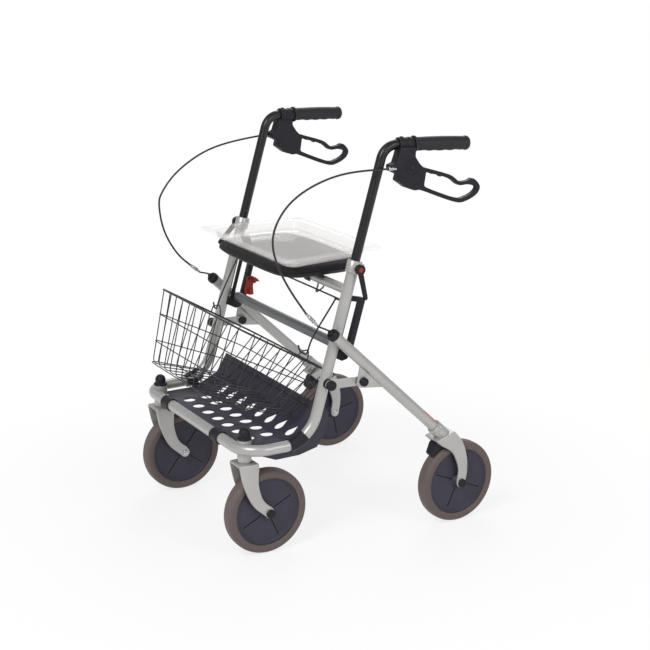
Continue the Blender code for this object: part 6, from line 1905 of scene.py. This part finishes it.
@dataclass
class SeatAndTray(Assembly):
    """Foam seat with its welted rim, the clips under it, and the clear tray on it."""

    half_width: float = 0.187
    front_y: float = -0.17
    rear_y: float = 0.062
    bottom_z: float = 0.614
    top_z: float = 0.643
    tray_z: float = TRAY_FLOOR_Z
    tray_depth: float = TRAY_DEPTH
    wall: float = 0.0025
    flange: float = 0.02

    def ring(self, inset: float, z: float, steps: int = 96) -> list[Vector]:
        """Superelliptic outline of the seat, drawn in by the inset, at height z."""
        half_depth, middle = (self.rear_y - self.front_y) / 2, (self.rear_y + self.front_y) / 2
        line = []
        for i in range(steps):
            angle = 2 * pi * (i + 0.5) / steps
            c, s = cos(angle), sin(angle)
            reach = (abs(c) ** 5 + abs(s) ** 5) ** -0.2
            line.append(
                Vector(
                    (reach * c * (self.half_width - inset), middle + reach * s * (half_depth - inset), z)
                )
            )
        return line

    def cushion(self) -> Shape:
        """Crowned foam pad: bulged sides drawn in at the seam, a welt and a sewn channel."""
        low, high = self.bottom_z, self.top_z
        rows = [
            (0.11, high - 0.0003), (0.08, high - 0.0005), (0.056, high - 0.0007), (0.04, high - 0.001),
            (0.03, high - 0.0013), (0.0285, high - 0.0021), (0.0265, high - 0.0021), (0.025, high - 0.0014),
            (0.016, high - 0.0028), (0.0095, high - 0.0052), (0.005, high - 0.0085), (0.0026, high - 0.012),
            (0.0034, high - 0.0146), (0.0022, high - 0.0156), (0.0016, high - 0.017),
            (0.0024, high - 0.0184), (0.004, high - 0.0192), (0.005, high - 0.021), (0.0075, low + 0.0062),
            (0.011, low + 0.0032), (0.017, low + 0.001), (0.03, low), (0.08, low),
        ]
        bm = bmesh.new()
        rings = [[bm.verts.new(point) for point in self.ring(inset, z)] for inset, z in rows]
        count = len(rings[0])
        for upper, under in zip(rings, rings[1:]):
            for i in range(count):
                k = (i + 1) % count
                bm.faces.new((upper[i], upper[k], under[k], under[i]))
        bm.faces.new(rings[0])
        bm.faces.new(rings[-1][::-1])
        hinge = self.upright(self.cross_z)
        pad = mesh_object(bm)
        reach = 0.2 * X_AXIS
        return cut(pad, rod(hinge - reach, hinge + reach, self.cross_radius + FIT_GAP, 40))

    def hinge_clips(self) -> Shape:
        """Two half rings under the seat that snap on the cross tube."""
        hinge, r = self.upright(self.cross_z), self.cross_radius
        made = None
        for side in Side:
            x = side.value * 0.105
            ring = lathe(
                [
                    (r + FIT_GAP, x - 0.011), (r + 0.004, x - 0.011), (r + 0.004, x + 0.011),
                    (r + FIT_GAP, x + 0.011),
                ],
                (0, hinge.y, hinge.z), X_AXIS, 48,
            )
            y, z = hinge.y, hinge.z
            cut(ring, plate(oblong(y - 0.0085, y + 0.0085, z - 0.03, z), x, 0.04))
            foot = oblong(y - 0.01, y + 0.01, z + r + 0.001, self.bottom_z + 0.004)
            joined(ring, plate(foot, x, 0.022))
            made = joined(made, ring) if made else ring
        return made

    def tray(self) -> Shape:
        """Clear formed tray with a stepped wall and a wide flange with a rolled edge."""
        floor, top, wall, wide = self.tray_z, self.tray_z + self.tray_depth, self.wall, self.flange

        def loop(shrink: float, z: float, radius: float) -> list[Vector]:
            """One level of the tray, a trapezoid with rounded corners."""
            front, rear, ahead, back = 0.211 - shrink, 0.1925 - shrink, -0.182 + shrink, 0.088 - shrink
            corners = [
                (rear - radius, back - radius, 0), (-rear + radius, back - radius, 90),
                (-front + radius, ahead + radius, 180), (front - radius, ahead + radius, 270),
            ]
            points = []
            for x, y, start in corners:
                for i in range(13):
                    angle = radians(start + 7.5 * i)
                    points.append(Vector((x + radius * cos(angle), y + radius * sin(angle), z)))
            return points

        rows = [
            (wide + 0.0155, floor, 0.018), (wide + 0.011, floor + 0.001, 0.021),
            (wide + 0.0075, floor + 0.004, 0.023), (wide + 0.005, floor + 0.0105, 0.024),
            (wide + wall * 0.5, top - wall - 0.0012, 0.026), (wide - 0.001, top - wall, 0.026),
            (0.002, top - wall, 0.013), (0.0006, top - wall - 0.0014, 0.012),
            (0.0, top - wall - 0.001, 0.012), (0.0, top - 0.001, 0.012), (0.001, top, 0.012),
            (wide, top, 0.025), (wide + wall * 1.4, top - 0.0016, 0.024),
            (wide + 0.0068, floor + 0.0112, 0.022), (wide + 0.0095, floor + 0.006, 0.021),
            (wide + 0.013, floor + 0.0032, 0.019), (wide + 0.0175, floor + wall, 0.016),
        ]
        bm = bmesh.new()
        rings = [[bm.verts.new(point) for point in loop(*row)] for row in rows]
        for under, upper in zip(rings, rings[1:]):
            for i in range(len(under)):
                k = (i + 1) % len(under)
                bm.faces.new((under[i], under[k], upper[k], upper[i]))
        bm.faces.new(rings[0])
        bm.faces.new(rings[-1])
        return mesh_object(bm)

    def build(self) -> None:
        """Builds the seat, its clips and the tray."""
        pad = self.seat_piece(self.cushion(), "seat_pad", "seat", Finish.SEAT, ["seat"])
        self.seat_piece(
            self.hinge_clips(), "seat_clips", "seat", Finish.BLACK_PLASTIC, slot="black_plastic"
        )
        self.seat_piece(self.tray(), "clear_tray", "tray", Finish.TRAY, ["tray"])


@dataclass
class Basket(Assembly):
    """Wire basket: U-shaped wires both ways, three hoops, a heavy rim, its eyes and the bail."""

    rim_half: float = 0.215
    base_half: float = 0.19
    corners: dict[str, tuple[float, float]] = field(
        default_factory=lambda: {
            "rim_front": (-0.2892, 0.5289), "rim_rear": (-0.038, 0.381), "base_front": (-0.3334, 0.3575),
            "base_rear": (-0.1432, 0.2962),
        }
    )
    wire: float = 0.0013
    bail_wire: float = 0.002
    hoops: tuple[float, ...] = (0.0, 0.336, 0.703, 1.0)
    wires_across: int = 12
    wires_deep: int = 8
    base_wires: tuple[int, ...] = (3, 6)
    bail_half: float = 0.235
    eye_share: float = 0.6

    def at(self, level: float, u: float, v: float) -> Vector:
        """Point of the basket: level 0 rim to 1 base, u across and v deep from -1 to 1."""
        reach = (abs(u) ** 14 + abs(v) ** 14) ** (1 / 14)
        scale = max(abs(u), abs(v)) / reach if reach > 1e-9 else 1.0
        share = (v * scale + 1) / 2
        ends = [
            Vector(self.corners[k + "_front"]).lerp(Vector(self.corners[k + "_rear"]), share)
            for k in ("rim", "base")
        ]
        place = ends[0].lerp(ends[1], level)
        return Vector(
            (u * scale * (self.rim_half + (self.base_half - self.rim_half) * level), place.x, place.y)
        )

    def hoop(self, level: float, radius: float) -> Shape:
        """One closed hoop round the basket."""
        edge = [i / 12 - 1 for i in range(24)]
        line = [(u, -1.0) for u in edge] + [(1.0, v) for v in edge]
        line += [(-u, 1.0) for u in edge] + [(-1.0, -v) for v in edge]
        return sweep([self.at(level, u, v) for u, v in line], radius, 10, closed=True)

    def bent(
        self, wall: Callable[[float, float], Vector], floor: Callable[[float], Vector]
    ) -> list[Vector]:
        """One U-shaped wire, its two lower bends rounded.

        Args:
            wall: Point of the walls, by level and by end, -1 or 1.
            floor: Point of the base, by share from -1 to 1.

        Returns:
            The wire's centre line.
        """
        down = [wall(level, -1.0) for level in (0.0, 0.35, 0.7, 0.93)]
        low = [floor(share) for share in (-0.93, -0.5, 0.0, 0.5, 0.93)]
        up = [wall(level, 1.0) for level in (0.93, 0.7, 0.35, 0.0)]
        return [
            *down, down[-1].lerp(low[0], 0.5).lerp(floor(-1.0), 0.5), *low,
            low[-1].lerp(up[0], 0.5).lerp(floor(1.0), 0.5), *up,
        ]

    def lattice(self) -> Shape:
        """All the thin wires and hoops, without the rim."""
        tree, named = spread_wires_tree()
        values = {"Wire Radius": self.wire, "Finish": Finish.WIRE.value.material()}
        edge = 1 - 1 / self.wires_across
        line = self.bent(
            lambda level, end: self.at(level, edge, end), lambda share: self.at(1.0, edge, share)
        )
        parts = [run_tree(polyline(line), tree, named, values | {"Wires": self.wires_across})]
        for i in range(1, self.wires_deep):
            v = 2 * i / self.wires_deep - 1
            line = self.bent(
                lambda level, end, v=v: self.at(level, end, v), lambda share, v=v: self.at(1.0, share, v)
            )
            if i in self.base_wires:
                parts.append(run_tree(polyline(line), tree, named, values | {"Wires": 1}))
                continue
            # The other wires of the side walls end on the base hoop, one at each side.
            wall = [self.at(level, 1.0, v) for level in (0.0, 0.35, 0.7, 1.0)]
            parts.append(run_tree(polyline(wall), tree, named, values | {"Wires": 2}))
        parts += [self.hoop(level, self.wire) for level in self.hoops[1:]]
        return self.gathered(parts)

    def gathered(self, parts: list[Shape]) -> Shape:
        """Puts several meshes into one, as welded wires are, and removes them."""
        bm = bmesh.new()
        for part in parts:
            bm.from_mesh(part.data)
            bpy.data.objects.remove(part)
        return as_object(bm, "wires")

    def rim(self) -> Shape:
        """Heavy rim with a bent eye on each side."""
        parts = [self.hoop(0.0, self.wire * 1.7)]
        for side in Side:
            foot = [self.at(0.0, side.value, 2 * (self.eye_share + shift) - 1) for shift in (-0.05, 0.05)]
            crown = (foot[0] + foot[1]) / 2 + Vector((side.value * 0.004, 0.004, 0.021))
            line = [
                foot[0], crown - Vector((0, 0.009, 0.001)), crown, crown + Vector((0, 0.009, -0.003)),
                foot[1],
            ]
            parts.append(sweep(through(line, 8), self.wire * 1.2, 12))
        return self.gathered(parts)

    def bail(self) -> Shape:
        """Wire bail that lies in the hooks under the seat and hangs the basket by its eyes."""
        share = Vector(self.corners["rim_front"]).lerp(Vector(self.corners["rim_rear"]), self.eye_share)
        eye = Vector((self.rim_half + 0.004, share.x + 0.004, share.y + 0.021))
        corner = Vector((self.bail_half, *self.bail_top))
        down = (eye - corner).normalized()
        drop_in = eye + Vector((0.0, 0.0015, -0.0055))
        half = [
            eye + Vector((-0.008, -0.012, 0.012)), eye + Vector((-0.006, -0.009, -0.001)),
            drop_in + Vector((-0.001, -0.003, -0.0015)), drop_in + Vector((0.004, 0.002, 0.001)),
            corner + 0.1 * down, corner + 0.01 * down, corner - 0.0035 * X_AXIS + 0.0035 * down,
            corner - 0.012 * X_AXIS,
        ]
        line = half + [Vector((-p.x, p.y, p.z)) for p in reversed(half)]
        return sweep(through(line, 6), self.bail_wire, 14)

    def build(self) -> None:
        """Builds the basket and its bail."""
        self.seat_piece(self.lattice(), "basket_lattice", "basket", Finish.WIRE, ["wire_basket"])
        self.seat_piece(self.rim(), "basket_rim", "basket", Finish.WIRE, slot="wire_black")
        self.seat_piece(self.bail(), "wire_bail", "basket", Finish.WIRE, ["basket_bail"])


def main() -> None:
    """Builds the studio and every sub-assembly in order."""
    logging.basicConfig(level=logging.INFO, format="%(message)s")
    parts = (
        Studio(), Cables(), FrontFrame(), RearFrame(), Handles(), Wheels(), KerbShelf(), SeatAndTray(),
        Basket(),
    )
    for assembly in parts:
        LOG.info("building %s", type(assembly).__name__)
        assembly.build()


if __name__ == "__main__":
    main()
